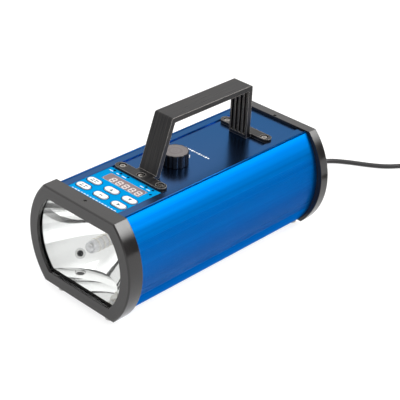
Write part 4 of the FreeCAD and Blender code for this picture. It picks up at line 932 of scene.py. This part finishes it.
def make_bend_relief():
    """Ribbed rubber relief where the lead leaves the rear panel."""
    low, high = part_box("strain_relief")
    centre = middle("strain_relief")
    start, end = low.y, high.y
    collar = (high.x - low.x) / 2
    collar_end = start + COLLAR_LONG
    lip = 0.4 * MM
    profile = [(start, CORD_RADIUS), (start, collar - lip), (start + lip, collar),
               (collar_end - lip, collar), (collar_end, collar - 0.5 * MM)]
    first = collar_end + 1.5 * MM
    pitch = (end - first - 1.0 * MM) / RELIEF_RIBS
    for n in range(RELIEF_RIBS):
        at = first + n * pitch
        radius = RELIEF_ROOT + (RELIEF_TIP - RELIEF_ROOT) * n / RELIEF_RIBS
        groove = radius - 0.9 * MM
        profile += [(at, groove), (at + 0.25 * pitch, radius), (at + 0.65 * pitch, radius - 0.02 * MM),
                    (at + 0.85 * pitch, groove)]
    profile += [(end - 0.6 * MM, RELIEF_TIP - 0.2 * MM), (end, RELIEF_TIP - 0.5 * MM), (end, CORD_RADIUS)]
    rubber = soft_rubber("relief_rubber", (0.035, 0.035, 0.036))
    bm = bmesh.new()
    lathe(bm, profile, 40, Matrix.Translation((centre.x, 0, centre.z)) @ TO_REAR)
    relief = finish_piece("bend_relief", bm, rubber, "case")
    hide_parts("strain_relief")
    return relief


PLUG_HALF = 17.6 * MM
PLUG_THICK = 13.7 * MM
PLUG_LONG = 35.0 * MM
PLUG_NECK = 20.0 * MM
PLUG_TIP, PLUG_ROOT = 3.4 * MM, 4.6 * MM      # radius of the neck at the lead and at the body
PLUG_RIBS = 5
PLUG_START = PLUG_NECK - 1.0 * MM
PLUG_EDGE = 2.2 * MM
GRIPS = 4
GRIP_PITCH = 3.4 * MM
GRIP_LONG, GRIP_WIDE, GRIP_PROUD = 20.0 * MM, 1.3 * MM, 0.35 * MM


def plug_frame():
    """Matrix with its origin where the lead enters the plug, Z along the lead and Y up."""
    coil = coil_points()
    ends = [Vector(p) * MM for p in tail_points(coil[-1])]
    ahead = (ends[1] - ends[0]).normalized()
    up = Vector((0, 0, 1))
    turn = Matrix((up.cross(ahead), up, ahead)).transposed().to_4x4()
    return Matrix.Translation(ends[1]) @ turn


def ribbed_neck(length, first, last, ribs):
    """Side view of a tapered, ribbed cable neck: a list of (along, radius)."""
    profile = [(0.0, CORD_RADIUS), (0.0, first - 0.5 * MM), (0.6 * MM, first - 0.2 * MM)]
    pitch = (length - 2.0 * MM) / ribs
    for n in range(ribs):
        at = 1.4 * MM + n * pitch
        radius = first + (last - first) * (n + 1) / ribs
        groove = radius - 0.8 * MM
        profile += [(at, groove), (at + 0.2 * pitch, radius), (at + 0.65 * pitch, radius),
                    (at + 0.85 * pitch, groove)]
    return profile + [(length, last), (length, CORD_RADIUS)]


def make_plug():
    """Flat two-pin plug: ribbed neck, tapered body with rounded edges, and finger grips on both faces."""
    bm = bmesh.new()
    lathe(bm, ribbed_neck(PLUG_NECK, PLUG_TIP, PLUG_ROOT, PLUG_RIBS), 32, Matrix())
    start, end = PLUG_START, PLUG_START + PLUG_LONG
    shoulder = start + 0.42 * PLUG_LONG
    root = 7.0 * MM
    outline = [(-root, start), (root, start), (PLUG_HALF, shoulder), (PLUG_HALF, end), (-PLUG_HALF, end),
               (-PLUG_HALF, shoulder)]
    body = bmesh.new()
    prism(body, outline, -PLUG_THICK / 2, PLUG_THICK / 2)
    bmesh.ops.bevel(
        body,
        geom=body.edges,
        offset=PLUG_EDGE,
        segments=4,
        profile=0.5,
        affect="EDGES",
        clamp_overlap=True,
    )
    for face in (-1, 1):
        level = face * PLUG_THICK / 2
        for n in range(GRIPS):
            at = shoulder + 2.0 * MM + n * GRIP_PITCH
            prism(body, bar(0.0, at, GRIP_LONG, GRIP_WIDE), level - GRIP_PROUD, level + GRIP_PROUD)
    bmesh.ops.transform(body, matrix=UPRIGHT, verts=body.verts)
    shell = bpy.data.meshes.new("plug_shell")
    body.to_mesh(shell)
    body.free()
    bm.from_mesh(shell)
    bpy.data.meshes.remove(shell)
    bmesh.ops.transform(bm, matrix=plug_frame(), verts=bm.verts)
    rubber = soft_rubber("plug_black", (0.024, 0.023, 0.024), 0.42)
    plug = finish_piece("plug_body", bm, rubber, "case")
    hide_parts("power_plug")
    return plug


PIN_ASIDE = 9.3 * MM
SLEEVE_BORE, SLEEVE_RADIUS = 1.95 * MM, 2.06 * MM
SLEEVE_LONG = 10.0 * MM


def make_pin_sleeves():
    """Insulating sleeves on the inner half of the plug's pins."""
    face = PLUG_START + PLUG_LONG
    inside, taper = 0.5 * MM, 0.5 * MM
    profile = [(face - inside, SLEEVE_BORE), (face - inside, SLEEVE_RADIUS),
               (face + SLEEVE_LONG - taper, SLEEVE_RADIUS), (face + SLEEVE_LONG, SLEEVE_BORE)]
    bm = bmesh.new()
    for side in (-1, 1):
        lathe(bm, profile, 24, plug_frame() @ Matrix.Translation((side * PIN_ASIDE, 0, 0)))
    black = soft_rubber("sleeve_black", (0.02, 0.02, 0.02), 0.4)
    return finish_piece("pin_sleeves", bm, black, "case")


TIE_AT = math.radians(228)      # where round the coil the tie is
TIE_WIDE, TIE_THICK = 8.0 * MM, 0.5 * MM
TIE_CORNER = 3.0 * MM
TIE_ROOM = 0.4 * MM             # between the turns and the tie, at their sides
TIE_BOTTOM = 0.35 * MM          # from the floor to the tie
TIE_ABOVE = 0.3 * MM            # from the top of the turns to the tie


def make_coil_tie():
    """Flat hook-and-loop tie round the bundle of turns."""
    out = Vector((math.cos(TIE_AT), math.sin(TIE_AT), 0))
    along = Vector((-math.sin(TIE_AT), math.cos(TIE_AT), 0))
    hub = Vector((*COIL_MIDDLE, 0)) * MM
    rays = [Vector((x, y, 0)) * MM - hub for x, y, _ in coil_points()]
    inside = math.cos(math.pi / TURN_POINTS)      # a spline turn runs this much inside its points
    reach = [ray.length * inside for ray in rays if ray.angle(out) < math.pi / TURN_POINTS]
    centre = hub + out * (max(reach) + min(reach)) / 2
    side = (max(reach) - min(reach)) / 2 + CORD_RADIUS + TIE_ROOM - TIE_CORNER
    bottom = TIE_BOTTOM + TIE_CORNER
    top = LAYER_HIGH * MM + CORD_RADIUS + TIE_ABOVE - TIE_CORNER
    steps = 6
    line = []
    for x, z, begin in ((side, top, 0), (-side, top, 90), (-side, bottom, 180), (side, bottom, 270)):
        for n in range(steps + 1):
            turn = math.radians(begin + 90 * n / steps)
            facing = out * math.cos(turn) + Vector((0, 0, math.sin(turn)))
            line.append((centre + out * x + Vector((0, 0, z)) + facing * TIE_CORNER, facing))
    bm = bmesh.new()
    loops = []
    for edge, proud in ((-1, -1), (-1, 1), (1, 1), (1, -1)):
        beside = along * edge * TIE_WIDE / 2
        loops.append([bm.verts.new(at + facing * proud * TIE_THICK / 2 + beside) for at, facing in line])
    join_loops(bm, loops)
    fabric = soft_rubber("tie_fabric", (0.03, 0.03, 0.03), 0.85)
    return finish_piece("coil_tie", bm, fabric, "case")


# ---------------------------------------------------------------- making it

make_camera()
make_world()
make_floor()
make_softbox()
bpy.context.scene.view_settings.view_transform = "Standard"

lead = make_cord()
relief = make_bend_relief()
tie = make_coil_tie()
plug = make_plug()
sleeves = make_pin_sleeves()
dress_nodes()
make_key_outlines()
make_key_marks()
make_panel_print()
make_lamp_rims()
make_display()
make_case_print()
make_rim_beads()
make_rear_print()
